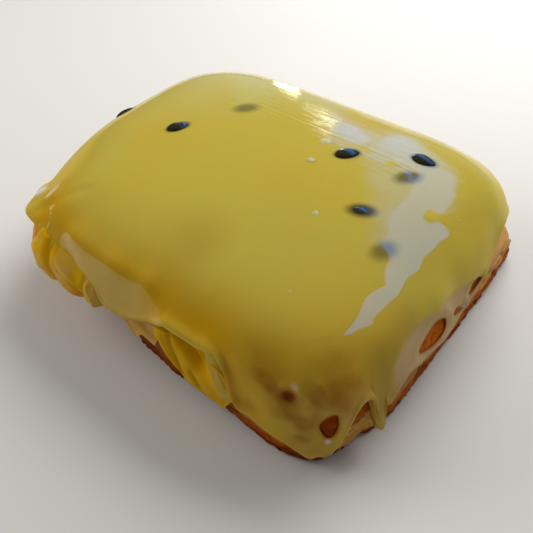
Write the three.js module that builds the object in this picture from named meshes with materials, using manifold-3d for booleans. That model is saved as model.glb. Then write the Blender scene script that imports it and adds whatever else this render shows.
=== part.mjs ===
// Vanilla slice: a thick layer of custard between two sheets of browned pastry, under a poured skin of
// yellow icing that hangs over the sides, with dark fruit seeds set in its top.
// Millimetres, +Z up. X runs along the long side, and the slice stands on z = 0.
import * as THREE from 'three';
import { mergeVertices } from 'three/addons/utils/BufferGeometryUtils.js';
import Module from 'manifold-3d';

// Heights of the layers.
const HEIGHT = 30.8;
const BASE_TOP = 7;
const CUSTARD_TOP = 19;
const GAP = 0.4;
const ICING = 1.8;

// Outlines seen from above: the reach of each side from the axis, and how square each corner is.
// Corners are named by their side of X and Y: right is +X, back is +Y.
const ICING_PLAN = {
  right: 53.4, back: 39.4, left: 48.2, front: 42,
  corners: { rightFront: 5.3, rightBack: 5.3, leftBack: 4, leftFront: 3.4 },
};
const BASE_PLAN = {
  right: 51.8, back: 40.6, left: 47.4, front: 40.4,
  corners: { rightFront: 6, rightBack: 8, leftBack: 5, leftFront: 4.5 },
};

// The crown is a superellipse in section. Its angles, in degrees, are closer together on the seen face.
const SHOULDER = 4.5;
const OUTER_ANGLES = [87, 80, 70, 60, 51, 43, 36];
const INNER_ANGLES = [80, 66, 51, 36];
const SIDE_STEPS = [0.3, 0.6, 0.85, 1];

// Slow unevenness of the top: where the icing and the pastry under it have sunk.
const SAGS = [
  { x: -42, y: -25, radius: 22, depth: 2.4 },
  { x: 18, y: -20, radius: 24, depth: 0.5 },
  { x: 8, y: 26, radius: 26, depth: 0.6 },
];

// Features round the rim: `at` is the angle from +X in degrees, `half` the half width of the flat part
// and `soft` the width of each slope.
const HEM_LEVEL = 11;
const HEM_CHANGES = [
  { at: 21, half: 4, soft: 18, rise: 6 },
  { at: -5, half: 3, soft: 13, rise: -3 },
  { at: -31, half: 1, soft: 5, rise: 1.5 },
  { at: -41, half: 4, soft: 7, rise: -7.4 },
  { at: -50, half: 3, soft: 4, rise: -1.8 },
  { at: -65.5, half: 8, soft: 4, rise: 9.4 },
  { at: -88, half: 9, soft: 8, rise: 3.6 },
  { at: -124, half: 20, soft: 9, rise: 8.8 },
  { at: -133, half: 1, soft: 22, rise: 3 },
  { at: 168, half: 3, soft: 14, rise: 4 },
  { at: 120, half: 3, soft: 10, rise: 3.5 },
  { at: 82, half: 4, soft: 12, rise: -2.5 },
];
const HEM_FLARES = [
  { at: -44, half: 3, soft: 8, out: 1 },
  { at: -65, half: 5, soft: 8, out: 1 },
  { at: -135, half: 2, soft: 9, out: 2.6 },
];
const HEM_BEAD = 0.35;
const HEM_ROUND = 0.8;

// The upper sheet's skirt comes down the sides, but stays up along the part where custard shows.
const SKIRT_LOW = 9;
const SKIRT_HIGH = 18.4;
const SKIRT_THICK = 6;
const SKIRT_RAISED = { at: -103, half: 44, soft: 8 };

// Custard: set back under the skirt, squeezed out in lumps along the front side and the left corner.
const CUSTARD_SETBACK = 3.2;
const CUSTARD_LUMPS = [
  { at: -65, half: 5.5, soft: 6, out: 3.6 },
  { at: -108.5, half: 2, soft: 4.5, out: 6 },
  { at: -124, half: 4, soft: 9, out: 6.6 },
  { at: -135, half: 3, soft: 6, out: 5.6 },
];
// Its tongue hangs over the lower sheet's rim, and the lumps are undercut over their lowest part.
const CUSTARD_HANG = { at: -65, half: 4, soft: 3.5, drop: 3.6, out: 2, fill: 0.7 };
const CUSTARD_SPREAD = { at: -65, half: 7.5, soft: 4 };
const CUSTARD_LIP = 1.1;
const CUSTARD_UNDERCUT = { at: -124, half: 16, soft: 14, in: 8, share: 0.29 };
const BULGE_STEPS = [
  { rise: 0, out: 0.5 },
  { rise: 0.2, out: 0.82 },
  { rise: 0.5, out: 1 },
  { rise: 0.8, out: 0.86 },
  { rise: 1, out: 0.55 },
];

// The lower sheet: its rim in flaky steps, set back where icing or custard runs down over it.
const BASE_RIM = [
  { height: 0, in: 1.2 },
  { height: 0.9, in: 0.25 },
  { height: 2.4, in: 0 },
  { height: 3.7, in: 0.75 },
  { height: 4.6, in: 0.2 },
  { height: 6.2, in: 0.5 },
  { height: BASE_TOP, in: 1.6 },
];
const BASE_DENTS = [
  { at: -27, half: 2, soft: 4, in: 0.6 },
  { at: -41, half: 5, soft: 7, in: 1.6 },
  { at: -65, half: 6, soft: 6, in: 0.8 },
  { at: -96, half: 6, soft: 22, in: 2 },
  { at: -124, half: 14, soft: 14, in: 5 },
];
const BASE_UNDERCUT = { at: -122, half: 15, soft: 18, in: 5 };
const FLAKE_DEPTH = 0.45;

// Gaps in the icing that bare the crust: place on the rim, height, half sizes along and up, and lean.
const ICING_HOLES = [
  { at: -37, height: 13.2, along: 2, up: 3, lean: 12 },
  { at: -43.7, height: 17.8, along: 1.6, up: 1.5, lean: 0 },
  { at: -9, height: 14.5, along: 2.1, up: 4.6, lean: -38 },
  { at: 8, height: 13.6, along: 1, up: 3.4, lean: -40 },
];
const HOLE_DEPTH = 4;

// Drips that hang from the hem: place on the rim, the height they start from, and their drop.
// The profile gives its width, and how far down it is, in shares of the radius and the drop.
const DRIP_RADIUS = 1.5;
const DRIP_SUNK = 0.15;
const DRIP_PROFILE = [
  [0, 0], [1.3, -0.04], [1.15, -0.25], [0.85, -0.55], [0.95, -0.8], [0.65, -0.95], [0, -1],
];
const DRIPS = [
  { at: -27, height: 13, drop: 8 },
  { at: 63, height: 12.5, drop: 4.6 },
  { at: 104, height: 12, drop: 4.2 },
  { at: 146, height: 13.5, drop: 5.6 },
];

// Seeds: half sizes, how far each centre stands under the surface, places and turns on the top.
const SEED_HALF = { long: 2.9, wide: 1.7, thick: 1.1 };
const SEED_SUNK = 0.55;
const SEEDS = [
  { x: -41.9, y: 0.2, turn: 60 },
  { x: -20.2, y: -1.5, turn: 62 },
  { x: -12.1, y: 13.5, turn: 50 },
  { x: 17.9, y: 12.1, turn: 45 },
  { x: 32, y: 20.2, turn: 5 },
  { x: 32.4, y: 13, turn: 55 },
  { x: 30.5, y: -1.4, turn: 30 },
  { x: 39.3, y: -7.3, turn: 75 },
];

const RAYS = 96;
const RADIANS = Math.PI / 180;
const TURN = 2 * Math.PI;

const wasm = await Module();
wasm.setup();

function smoothstep(share) {
  const held = Math.min(Math.max(share, 0), 1);
  return held * held * (3 - 2 * held);
}

// How much of a rim feature is felt at an angle: 1 over its flat part, falling to 0 past its slopes.
function felt(feature, angle) {
  const degrees = angle / RADIANS;
  const away = Math.abs(((degrees - feature.at + 900) % 360) - 180);
  return smoothstep((feature.half + feature.soft - away) / feature.soft);
}

function sum(features, angle, size) {
  return features.reduce((total, feature) => total + feature[size] * felt(feature, angle), 0);
}

// Distance from the axis to an outline drawn in by `inset`.
function reach(plan, angle, inset = 0) {
  const across = Math.cos(angle);
  const along = Math.sin(angle);
  const corner = `${across >= 0 ? 'right' : 'left'}${along >= 0 ? 'Back' : 'Front'}`;
  const square = plan.corners[corner];
  const a = (across >= 0 ? plan.right : plan.left) - inset;
  const b = (along >= 0 ? plan.back : plan.front) - inset;
  return (Math.abs(across / a) ** square + Math.abs(along / b) ** square) ** (-1 / square);
}

// Rays from the axis, spaced evenly along the icing's outline.
function spacedAngles(count) {
  const fine = 1440;
  const lengths = [0];
  const spot = (step) => {
    const angle = (step / fine) * TURN;
    return new THREE.Vector2(Math.cos(angle), Math.sin(angle)).multiplyScalar(reach(ICING_PLAN, angle));
  };
  for (let step = 1; step <= fine; step += 1) {
    lengths.push(lengths[step - 1] + spot(step).distanceTo(spot(step - 1)));
  }
  const angles = [];
  let step = 0;
  for (let ray = 0; ray < count; ray += 1) {
    const wanted = (ray / count) * lengths[fine];
    while (lengths[step + 1] <= wanted) {
      step += 1;
    }
    const share = (wanted - lengths[step]) / (lengths[step + 1] - lengths[step]);
    angles.push(((step + share) / fine) * TURN);
  }
  return angles;
}

const ANGLES = spacedAngles(RAYS);

function sag(x, y) {
  return SAGS.reduce((total, dip) => {
    const away = Math.hypot(x - dip.x, y - dip.y) / dip.radius;
    return total + dip.depth * smoothstep(1 - away);
  }, 0);
}

// A closed solid about the axis. section(angle) lists { radius, height } from the lower end on the axis,
// out and up to the upper end on the axis.
function turned(section) {
  const positions = [];
  const triangles = [];
  const sections = ANGLES.map((angle) => section(angle));
  const last = sections[0].length - 1;
  positions.push(0, 0, sections[0][0].height);
  positions.push(0, 0, sections[0][last].height);
  const vertex = (ray, ring) => 2 + (ray % RAYS) * (last - 1) + ring - 1;
  sections.forEach((points, ray) => {
    points.slice(1, last).forEach(({ radius, height }) => {
      positions.push(radius * Math.cos(ANGLES[ray]), radius * Math.sin(ANGLES[ray]), height);
    });
  });
  for (let ray = 0; ray < RAYS; ray += 1) {
    triangles.push(0, vertex(ray + 1, 1), vertex(ray, 1));
    for (let ring = 1; ring < last - 1; ring += 1) {
      const [a, b] = [vertex(ray, ring), vertex(ray + 1, ring)];
      const [c, d] = [vertex(ray + 1, ring + 1), vertex(ray, ring + 1)];
      triangles.push(a, b, c, a, c, d);
    }
    triangles.push(1, vertex(ray, last - 1), vertex(ray + 1, last - 1));
  }
  const geometry = new THREE.BufferGeometry();
  geometry.setAttribute('position', new THREE.Float32BufferAttribute(positions, 3));
  geometry.setIndex(triangles);
  return geometry;
}

// The point of the crown at a crown angle, drawn in by `inset` and sunk where the top has sagged.
function crownPoint(angle, degrees, inset) {
  const power = 2 / SHOULDER;
  const radius = reach(ICING_PLAN, angle, inset) * Math.cos(degrees * RADIANS) ** power;
  const height = (HEIGHT - inset) * Math.sin(degrees * RADIANS) ** power;
  return { radius, height: height - sag(radius * Math.cos(angle), radius * Math.sin(angle)) };
}

// The crown angle at which the side comes down to a height.
function footDegrees(angle, height, inset) {
  const edge = reach(ICING_PLAN, angle, inset);
  const level = height + sag(edge * Math.cos(angle), edge * Math.sin(angle));
  return Math.asin((level / (HEIGHT - inset)) ** (SHOULDER / 2)) / RADIANS;
}

function sideRadius(angle, height, inset) {
  return crownPoint(angle, footDegrees(angle, height, inset), inset).radius;
}

// The crown from the top of the axis down to `foot`, drawn in by `inset`.
function crownDown(angle, foot, inset, crownAngles) {
  const brow = crownAngles[crownAngles.length - 1];
  const browLevel = HEIGHT * Math.sin(brow * RADIANS) ** (2 / SHOULDER);
  const sideAngles = SIDE_STEPS.map((share) => (
    footDegrees(angle, browLevel + (foot - browLevel) * share, inset)
  ));
  const points = [...crownAngles, ...sideAngles].map((degrees) => crownPoint(angle, degrees, inset));
  return [{ radius: 0, height: HEIGHT - inset - sag(0, 0) }, ...points];
}

function hemHeight(angle) {
  return HEM_LEVEL + sum(HEM_CHANGES, angle, 'rise');
}

function icingSection(angle) {
  const hem = hemHeight(angle);
  const flare = sum(HEM_FLARES, angle, 'out');
  const outer = crownDown(angle, hem, 0, OUTER_ANGLES).reverse();
  const inner = crownDown(angle, hem, ICING, INNER_ANGLES);
  outer.slice(0, SIDE_STEPS.length).forEach((point, step) => {
    point.radius += (HEM_BEAD + flare) * (1 - step / SIDE_STEPS.length);
  });
  const underside = { radius: outer[0].radius - ICING / 2, height: hem - HEM_ROUND };
  return [...inner, underside, ...outer];
}

function skirtFoot(angle) {
  return SKIRT_LOW + (SKIRT_HIGH - SKIRT_LOW) * felt(SKIRT_RAISED, angle);
}

function custardEdge(angle) {
  return sideRadius(angle, CUSTARD_TOP, ICING + GAP) - SKIRT_THICK - GAP;
}

function pastryTopSection(angle) {
  const foot = skirtFoot(angle);
  const inner = custardEdge(angle) + GAP;
  const outer = crownDown(angle, foot, ICING + GAP, INNER_ANGLES);
  return [
    { radius: 0, height: CUSTARD_TOP + GAP },
    { radius: inner, height: CUSTARD_TOP + GAP },
    { radius: inner, height: foot },
    ...outer.reverse(),
  ];
}

function baseReach(angle) {
  return reach(BASE_PLAN, angle) - sum(BASE_DENTS, angle, 'in');
}

function flake(angle, layer) {
  const slow = Math.sin(5 * angle + 1.7 * layer);
  const mid = Math.sin(13 * angle + 2.9 * layer);
  const quick = Math.sin(29 * angle + 4.1 * layer);
  return FLAKE_DEPTH * (0.4 * slow + 0.35 * mid + 0.25 * quick);
}

function pastryBaseSection(angle) {
  const edge = baseReach(angle);
  const undercut = BASE_UNDERCUT.in * felt(BASE_UNDERCUT, angle);
  const rim = BASE_RIM.map(({ height, in: inset }, layer) => {
    const tucked = undercut * (1 - height / BASE_TOP) ** 2;
    return { radius: edge - inset - tucked + Math.min(flake(angle, layer), 0), height };
  });
  return [{ radius: 0, height: 0 }, ...rim, { radius: 0, height: BASE_TOP }];
}

function custardSection(angle) {
  const floor = BASE_TOP + GAP;
  const brow = skirtFoot(angle) - 2 * GAP;
  const hung = felt(CUSTARD_HANG, angle);
  const low = floor - CUSTARD_HANG.drop * hung;
  const back = reach(ICING_PLAN, angle, ICING + GAP + CUSTARD_SETBACK);
  const lump = sum(CUSTARD_LUMPS, angle, 'out') + CUSTARD_HANG.out * hung;
  const undercut = CUSTARD_UNDERCUT.in * felt(CUSTARD_UNDERCUT, angle);
  const tucked = back - CUSTARD_LIP - undercut;
  const inside = tucked + (baseReach(angle) + 2 * GAP - tucked) * felt(CUSTARD_SPREAD, angle);
  const bulge = BULGE_STEPS.map(({ rise, out }) => {
    const filled = out + (1 - out) * hung * CUSTARD_HANG.fill;
    const radius = back + lump * filled - undercut * Math.max(1 - rise / CUSTARD_UNDERCUT.share, 0);
    return { radius: Math.max(radius, inside + CUSTARD_LIP), height: low + (brow - low) * rise };
  });
  return [
    { radius: 0, height: floor },
    { radius: inside, height: floor },
    { radius: inside + GAP, height: low },
    ...bulge,
    { radius: custardEdge(angle), height: brow },
    { radius: custardEdge(angle), height: CUSTARD_TOP },
    { radius: 0, height: CUSTARD_TOP },
  ];
}

// Geometry to a solid that can be joined and cut, and back.
function toSolid(geometry) {
  const bare = geometry.clone();
  bare.deleteAttribute('normal');
  bare.deleteAttribute('uv');
  const merged = mergeVertices(bare, 1e-5);
  return new wasm.Manifold(new wasm.Mesh({
    numProp: 3,
    vertProperties: new Float32Array(merged.attributes.position.array),
    triVerts: new Uint32Array(merged.index.array),
  }));
}

function toGeometry(solid) {
  const mesh = solid.getMesh();
  const geometry = new THREE.BufferGeometry();
  geometry.setAttribute('position', new THREE.BufferAttribute(mesh.vertProperties, 3));
  geometry.setIndex(new THREE.BufferAttribute(mesh.triVerts, 1));
  return geometry;
}

// An egg-shaped tool whose long axes lie along the rim, up the side and into it.
function holeTool({ at, height, along, up, lean }) {
  const angle = at * RADIANS;
  const radius = sideRadius(angle, height, 0);
  const tool = new THREE.SphereGeometry(1, 10, 7);
  tool.scale(HOLE_DEPTH, along, up);
  tool.rotateX(lean * RADIANS);
  tool.rotateZ(sideFacing(angle));
  tool.translate(radius * Math.cos(angle), radius * Math.sin(angle), height);
  return tool;
}

// The direction that the side faces at an angle round the rim.
function sideFacing(angle) {
  const step = 0.01;
  const [before, after] = [angle - step, angle + step].map((turn) => (
    new THREE.Vector2(Math.cos(turn), Math.sin(turn)).multiplyScalar(reach(ICING_PLAN, turn))
  ));
  const along = after.sub(before);
  return Math.atan2(along.y, along.x) - Math.PI / 2;
}

function dripGeometry({ at, height, drop }) {
  const angle = at * RADIANS;
  const radius = sideRadius(angle, height, 0) - DRIP_SUNK;
  const profile = DRIP_PROFILE.map(([wide, down]) => new THREE.Vector2(wide * DRIP_RADIUS, down * drop));
  const drip = new THREE.LatheGeometry(profile.reverse(), 8);
  drip.rotateX(Math.PI / 2);
  drip.translate(radius * Math.cos(angle), radius * Math.sin(angle), height);
  return drip;
}

// Height of the icing's surface over a point of the top.
function topHeight(x, y) {
  const angle = Math.atan2(y, x);
  const share = Math.hypot(x, y) / reach(ICING_PLAN, angle);
  return HEIGHT * (1 - share ** SHOULDER) ** (1 / SHOULDER) - sag(x, y);
}

function seedGeometry({ x, y, turn }) {
  const seed = new THREE.SphereGeometry(1, 6, 4);
  seed.scale(SEED_HALF.long, SEED_HALF.wide, SEED_HALF.thick);
  seed.rotateZ(turn * RADIANS);
  const step = 0.5;
  const slope = new THREE.Vector3(
    topHeight(x - step, y) - topHeight(x + step, y),
    topHeight(x, y - step) - topHeight(x, y + step),
    2 * step,
  ).normalize();
  seed.applyQuaternion(new THREE.Quaternion().setFromUnitVectors(new THREE.Vector3(0, 0, 1), slope));
  seed.translate(x, y, topHeight(x, y) - SEED_SUNK);
  return seed;
}

function icingGeometry() {
  let icing = toSolid(turned(icingSection));
  ICING_HOLES.forEach((hole) => {
    icing = icing.subtract(toSolid(holeTool(hole)));
  });
  DRIPS.forEach((drip) => {
    icing = icing.add(toSolid(dripGeometry(drip)));
  });
  SEEDS.forEach((seed) => {
    icing = icing.add(toSolid(seedGeometry(seed)));
  });
  return toGeometry(icing);
}

const slice = new THREE.Group();

function addPiece(name, geometry, look) {
  geometry.computeVertexNormals();
  const piece = new THREE.Mesh(geometry, new THREE.MeshStandardMaterial(look));
  piece.name = name;
  slice.add(piece);
}

addPiece('pastry_base', turned(pastryBaseSection), { color: 0x9a6a3c, roughness: 0.75, metalness: 0 });
addPiece('custard', turned(custardSection), { color: 0xd9b53a, roughness: 0.4, metalness: 0 });
addPiece('pastry_top', turned(pastryTopSection), { color: 0xb07a3a, roughness: 0.7, metalness: 0 });
addPiece('icing', icingGeometry(), { color: 0xd8c24a, roughness: 0.2, metalness: 0 });

export default slice;
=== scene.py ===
# Vanilla slice: the looks of a custard slice under poured yellow icing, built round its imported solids.
# Lengths in this script are millimetres, as in the solids, and every mesh is made in metres.
import math

import bpy
import numpy as np
from mathutils import Matrix, Vector


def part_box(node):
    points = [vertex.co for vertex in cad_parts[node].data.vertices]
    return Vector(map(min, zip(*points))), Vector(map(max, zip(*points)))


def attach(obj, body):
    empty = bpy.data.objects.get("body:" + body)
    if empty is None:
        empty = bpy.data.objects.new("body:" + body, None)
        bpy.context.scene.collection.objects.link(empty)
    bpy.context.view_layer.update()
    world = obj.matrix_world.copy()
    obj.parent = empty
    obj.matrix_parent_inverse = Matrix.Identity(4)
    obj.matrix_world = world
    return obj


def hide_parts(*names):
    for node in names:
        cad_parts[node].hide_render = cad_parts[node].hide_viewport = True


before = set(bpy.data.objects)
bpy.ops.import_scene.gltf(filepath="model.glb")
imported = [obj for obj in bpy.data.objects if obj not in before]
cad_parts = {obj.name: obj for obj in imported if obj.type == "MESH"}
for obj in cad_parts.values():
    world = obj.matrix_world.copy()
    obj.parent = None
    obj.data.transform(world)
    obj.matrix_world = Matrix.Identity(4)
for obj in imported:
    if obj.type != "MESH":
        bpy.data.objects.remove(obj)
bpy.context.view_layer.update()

bl_info = {
    "name": "Vanilla slice",
    "version": (1, 0, 0),
    "blender": (4, 5, 0),
    "location": "View3D > Sidebar > Slice",
    "description": "Builds a custard slice with poured icing, seeds and flaky pastry",
    "category": "Add Mesh",
}

MM = 0.001
TURN = 2 * math.pi
DEGREE = math.radians(1)
BODY = "root"

# Layers. The lower sheet and the custard end where their solids do.
HEIGHT = 30.8
BASE_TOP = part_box("pastry_base")[1].z / MM
CUSTARD_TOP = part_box("custard")[1].z / MM
GAP = 0.4
ICING = 1.8

# Outlines from above: the reach of each side from the axis, and how square each corner is.
ICING_PLAN = {
    "right": 53.4, "back": 39.4, "left": 48.2, "front": 42.0,
    "right_front": 5.3, "right_back": 5.3, "left_back": 4.0, "left_front": 3.4,
}
BASE_PLAN = {
    "right": 51.8, "back": 40.6, "left": 47.4, "front": 40.4,
    "right_front": 6.0, "right_back": 8.0, "left_back": 5.0, "left_front": 4.5,
}
# How square the crown's shoulder is, and the height below which the edge's flares spread.
SHOULDER = 4.5
BROW = 24.3

# Where the top has sunk: x, y, radius, depth.
SAGS = [(-42, -25, 22, 2.4), (18, -20, 24, 0.5), (8, 26, 26, 0.6)]

# The lower edge of the thick icing round the rim: angle from +X in degrees, height.
HEM = [
    (-180, 12.5), (-168, 11.2), (-158, 11.4), (-152, 14), (-147, 19.5), (-140, 21.5), (-133, 21.8),
    (-127, 21), (-119, 20.3), (-111, 19.7), (-104, 19), (-101, 17.8), (-99.4, 16), (-98, 14.8),
    (-94, 14.6), (-90, 14.9), (-86, 15.8), (-81, 17.7), (-75.3, 19.6), (-72, 21.2), (-66, 21.2),
    (-62.7, 21), (-59.7, 21.2), (-57, 20.4), (-55.4, 18.8), (-54.6, 14), (-53.6, 10), (-51.2, 10.1),
    (-48.9, 9.5), (-46.6, 8.7), (-44, 7), (-42.2, 5), (-40.9, 3.4), (-39.4, 5.2), (-38.2, 4.3),
    (-37, 5.2), (-35.7, 8), (-33.9, 12.2), (-32.5, 15.2), (-30.8, 16.6), (-29.2, 16.4), (-28.4, 15.4),
    (-24.9, 11), (-23.9, 12), (-21.5, 13.4), (-18.7, 13.6), (-15, 12.2), (-11, 11.4), (-6, 10.6),
    (-1.7, 9.6), (2.6, 10.6), (6.8, 12.2), (9.7, 13.2), (12.2, 14.6), (14.5, 15.6), (17.5, 16.4),
    (20.5, 17.6), (24, 18.9), (27, 18.8), (30, 17.6), (35, 16), (40, 14.6), (46, 12.8),
    (56, 11.2), (74, 9.2), (82, 8.6), (92, 9.5), (110, 12.6), (120, 14.4), (130, 12.4), (152, 12.4),
    (168, 15), (180, 12.5),
]
# Thin curtains of glaze that hang below the thick edge: angle, drop.
CURTAINS = [
    (-180, 0), (-61.4, 0), (-60.6, 4), (-59.4, 9.5), (-58.4, 11.2), (-57, 10.6), (-56, 9.8),
    (-55.2, 7.5), (-54.6, 3.6), (-53.8, 0), (180, 0),
]
# Fingers that hang from the edge: angle, half width, tip height.
FINGERS = [(-27.2, 1.25, 5.9), (63, 1.5, 7.9), (104, 1.5, 7.8), (146, 1.5, 7.9)]
FINGER_BLUNT = 0.3
# How far the thin film reaches below the thick edge.
LIP_DROP = 0.8
# Where the edge stands out: angle, half width and slope width in degrees, outward.
FLARES = [(-44, 3, 8, 1.0), (-65, 5, 8, 1.0), (-135, 1, 6, 2.0), (-132, 10, 8, 1.3), (29, 9, 10, -0.6)]
# Where the edge's bead is thicker or thinner, in the same way.
BEADS = [(-65, 10, 4, 0.45), (-144, 3, 4, 0.3), (-119, 17, 4, -0.33)]
# Where the shoulder stands out: angle, half width and slope width, outward, then height and spread.
SHOULDERS = [(-98, 15, 8, 0.8, 25, 2.2)]

# The upper boundary of the thin glaze on the right side: angle, height.
GLAZE_TOP = [
    (-27, 16), (-24, 19.6), (-21.6, 21), (-18.9, 22), (-15.5, 21.8), (-10.8, 21.4), (-6.1, 21),
    (-0.2, 20), (5.8, 18.2), (9.3, 16.8), (14, 14),
]
GLAZE_SPAN = (-6, 15.5, 4)

# Gaps that bare the crust: how deep the icing dips round each, how far the crust stands up in it, then
# the outline as angle and height.
HOLES = [
    (0.2, 3.0, [(-38.9, 13.2), (-38.9, 14.6), (-37.6, 15.9), (-36.2, 16.8), (-35.8, 16), (-35.9, 13.6),
                (-36.5, 11.2), (-37.2, 10.4), (-37.9, 10.5), (-38.5, 11.8)]),
    (0.1, 1.95, [(-4.9, 16.2), (-7.3, 17.6), (-9.2, 18), (-11.6, 17), (-15, 15.8), (-14.6, 14.6),
                 (-12.6, 13.4), (-9.5, 12.7), (-6.8, 12.6), (-4.9, 13.4)]),
    (0.1, 1.9, [(11, 15.3), (10, 14.5), (8.2, 14), (6.2, 13.6), (6.4, 14.5), (7.2, 15.5), (9.2, 16.2)]),
    (0.1, 1.9, [(-0.8, 14.2), (0.8, 14.1), (2.7, 12.7), (2.5, 12.1), (1, 12.3), (-0.4, 13.2)]),
]
HOLE_DEPTH = 3.0
# A soft dimple over the front corner: angle, height, radius, depth.
DIMPLE = (-43.6, 18.5, 2.6, 1.3)

# Creases pressed into the icing, or ridges where the depth is negative: depth, width, then points.
CREASES = [
    (0.25, 1.5, [(-33, -35, 22.5), (-31.6, -34, 23.6), (-29, -33.3, 25.3), (-25.4, -30.3, 27.8),
                 (-22, -28, 28.9)]),
    (-0.3, 1.6, [(-35, -36, 20.5), (-33.5, -34, 23), (-31.5, -31.5, 25.8)]),
    (-0.12, 0.5, [(-26.8, -35.2, 24.8), (-25.7, -36.3, 24.2), (-25.5, -37.5, 22.8), (-24.8, -39.1, 20)]),
    (-0.1, 1.0, [(18.3, -26.7, 29.4), (18.5, -31, 28.6), (19.3, -34.3, 27.3)]),
    (1.5, 0.7, [(25, -39.5, 20.5), (26.3, -40.6, 18), (27.2, -41.2, 15.5), (27.8, -41.4, 14)]),
    (-0.4, 0.9, [(39.2, -38.6, 21.4), (40.5, -37.7, 22.2), (41.4, -37.2, 21.9), (42.3, -37.6, 19.8)]),
    (-0.3, 1.0, [(44.5, -35, 22), (47.5, -34.5, 17.5), (48.8, -34.4, 13), (48.6, -35.6, 8)]),
    (0.25, 0.6, [(25, -41.8, 9.6), (32, -41.2, 8.2), (38, -40, 6.4)]),
]

# Where crust shows brown through the icing: angle, height, radius, share.
BROWN_SPOTS = [
    (-44, 18.6, 2.6, 0.85), (-38.5, 20.4, 2.0, 0.95), (-34.5, 18.4, 3, 0.6), (-42.2, 9.8, 1.8, 0.75),
    (-44.4, 15.8, 2.4, 0.7), (-47, 20.8, 3.2, 0.75), (-36.1, 19.8, 3, 0.65), (-34, 21.8, 4, 0.55),
    (-41, 14.6, 3.6, 0.7), (-51.5, 13.4, 1.8, 0.55), (-38, 4.6, 1.2, 0.6), (-39.4, 8, 2.2, 0.45),
]
# Pale spots on the sides: x, y, height, radius, share. The first is a painted reflection on the left flap,
# the last a painted highlight above the dimple, the others pale flecks.
FLECKS_AND_HIGHLIGHTS = [
    (-38.6, -30.9, 23.2, 2.0, 1.0), (47.7, -36.9, 9.5, 0.55, 1.0), (52.9, 3.4, 12.4, 0.25, 1.0),
    (52.8, -1.3, 12.9, 0.25, 1.0), (52.7, 4.9, 14, 0.3, 1.0), (41.0, -37.6, 21.5, 0.8, 0.4),
]

# Dull spots on the top, which show no reflections: x, y, radius.
DULL_SPOTS = [
    (41.4, 6.9, 1.55), (27.2, 14.7, 0.9), (20.6, 15.8, 0.8), (31.4, 12.2, 1.3), (33.1, 14.6, 0.8),
]

# Soft clouds of painted shade on the top: x, y, radius, share.
SHADE_CLOUDS = [(9.5, -25.5, 8, 0.24), (25, -15, 16, 0.13), (38, -2, 10, 0.14)]

# Where the lines dragged through the top have flowed out: x, y, radius, share.
CALM_SPOTS = [(15, 20.5, 5, 0.85), (39.5, 16.5, 4.5, 0.8)]

# Low drops on the top: x, y, radius, height.
DROPS = [(41.8, 6.7, 1.3, 0.16), (28, 15.5, 1.1, 0.12), (-6, 4, 2.6, -0.05), (-16, -4, 3.2, 0.06)]

# The upper sheet's skirt, which stays up where custard shows.
SKIRT_LOW = 9.0
SKIRT_HIGH = 18.4
SKIRT_THICK = 6.0
SKIRT_RAISED = (-103, 44, 8)

# Seeds: x, y, turn in degrees, and how much of the seed stands out of the icing.
SEEDS = [
    (-41.9, 0.2, 60, 0.8), (-20.2, -1.5, 62, 1.0), (-12.1, 13.5, 50, 0.0), (17.9, 12.1, 45, 1.0),
    (32, 20.2, 5, 0.85), (32.4, 13, 55, 0.1), (30.5, -1.4, 30, 0.35), (39.3, -7.3, 75, 0.0),
]

# The sides that show, where meshes are finer, and the fine steps by which rays and rings are spaced.
SHOWN_SIDES = (-57, 92, 14)
FINE_RAYS = 14401
FINE_RINGS = 300
FINE_EASE = 0.7

# Camera: place, look and up, its lens and sensor width, and in metres the nearest that it sees.
CAMERA_PLACE = (79.89, -84.17, 113.45)
CAMERA_LOOK = (-0.4725, 0.5146, -0.7155)
CAMERA_UP = (-0.4199, 0.5823, 0.6961)
CAMERA_LENS = 43.187
CAMERA_SENSOR = 36
CAMERA_NEAREST = 0.005


def linear(red, green, blue):
    """A colour given as screen values from 0 to 255, as the light values that Blender's colours hold."""
    shares = [value / 255 for value in (red, green, blue)]
    return tuple(s / 12.92 if s <= 0.04045 else ((s + 0.055) / 1.055) ** 2.4 for s in shares)


def smoothstep(share):
    """0 below 0, 1 above 1, and eased between."""
    held = np.clip(share, 0, 1)
    return held * held * (3 - 2 * held)


def below(level, soft, height):
    """1 well under a level, easing to 0 at it over a soft stretch."""
    return smoothstep((level - height) / soft)


def past(start, soft, value):
    """0 up to a start, easing to 1 over a soft stretch."""
    return smoothstep((value - start) / soft)


def bell(distance, width):
    """A soft bump: 1 in the middle, fading out past its width."""
    return np.exp(-(distance / width) ** 2)


def turned_from(at, degrees):
    """The turn from one angle to others, from -180 to 180 degrees."""
    return (degrees - at + 180) % 360 - 180


def felt(feature, degrees):
    """How much of a rim feature is felt at an angle: 1 over its flat part, falling to 0 past its slopes."""
    at, half, soft = feature[:3]
    return smoothstep((half + soft - np.abs(turned_from(at, degrees))) / soft)


def moved(features, degrees):
    """How far rim features, whose last value is a distance, move the rim at an angle."""
    return sum(feature[3] * felt(feature, degrees) for feature in features)


def angles_of(points):
    """The angle of each point round the axis, in degrees."""
    return np.degrees(np.arctan2(points[:, 1], points[:, 0]))


def along(points, degrees, blur=0.5):
    """Height of a line round the rim, with its corners rounded over a few tenths of a degree."""
    at, height = np.array(points, float).T
    offsets = np.linspace(-blur, blur, 7)
    return np.mean([np.interp(turned_from(-offset, degrees), at, height) for offset in offsets], axis=0)


def swell(points, size, seed, waves=14):
    """Smooth unevenness about as wide as size, from -1 to 1 for the most part."""
    draw = np.random.default_rng(seed)
    heading = draw.normal(size=(waves, 3))
    heading /= np.linalg.norm(heading, axis=1)[:, None]
    phase = draw.uniform(0, TURN, waves)
    return np.sin(points @ heading.T * (TURN / size) + phase).sum(-1) / math.sqrt(waves)


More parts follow.
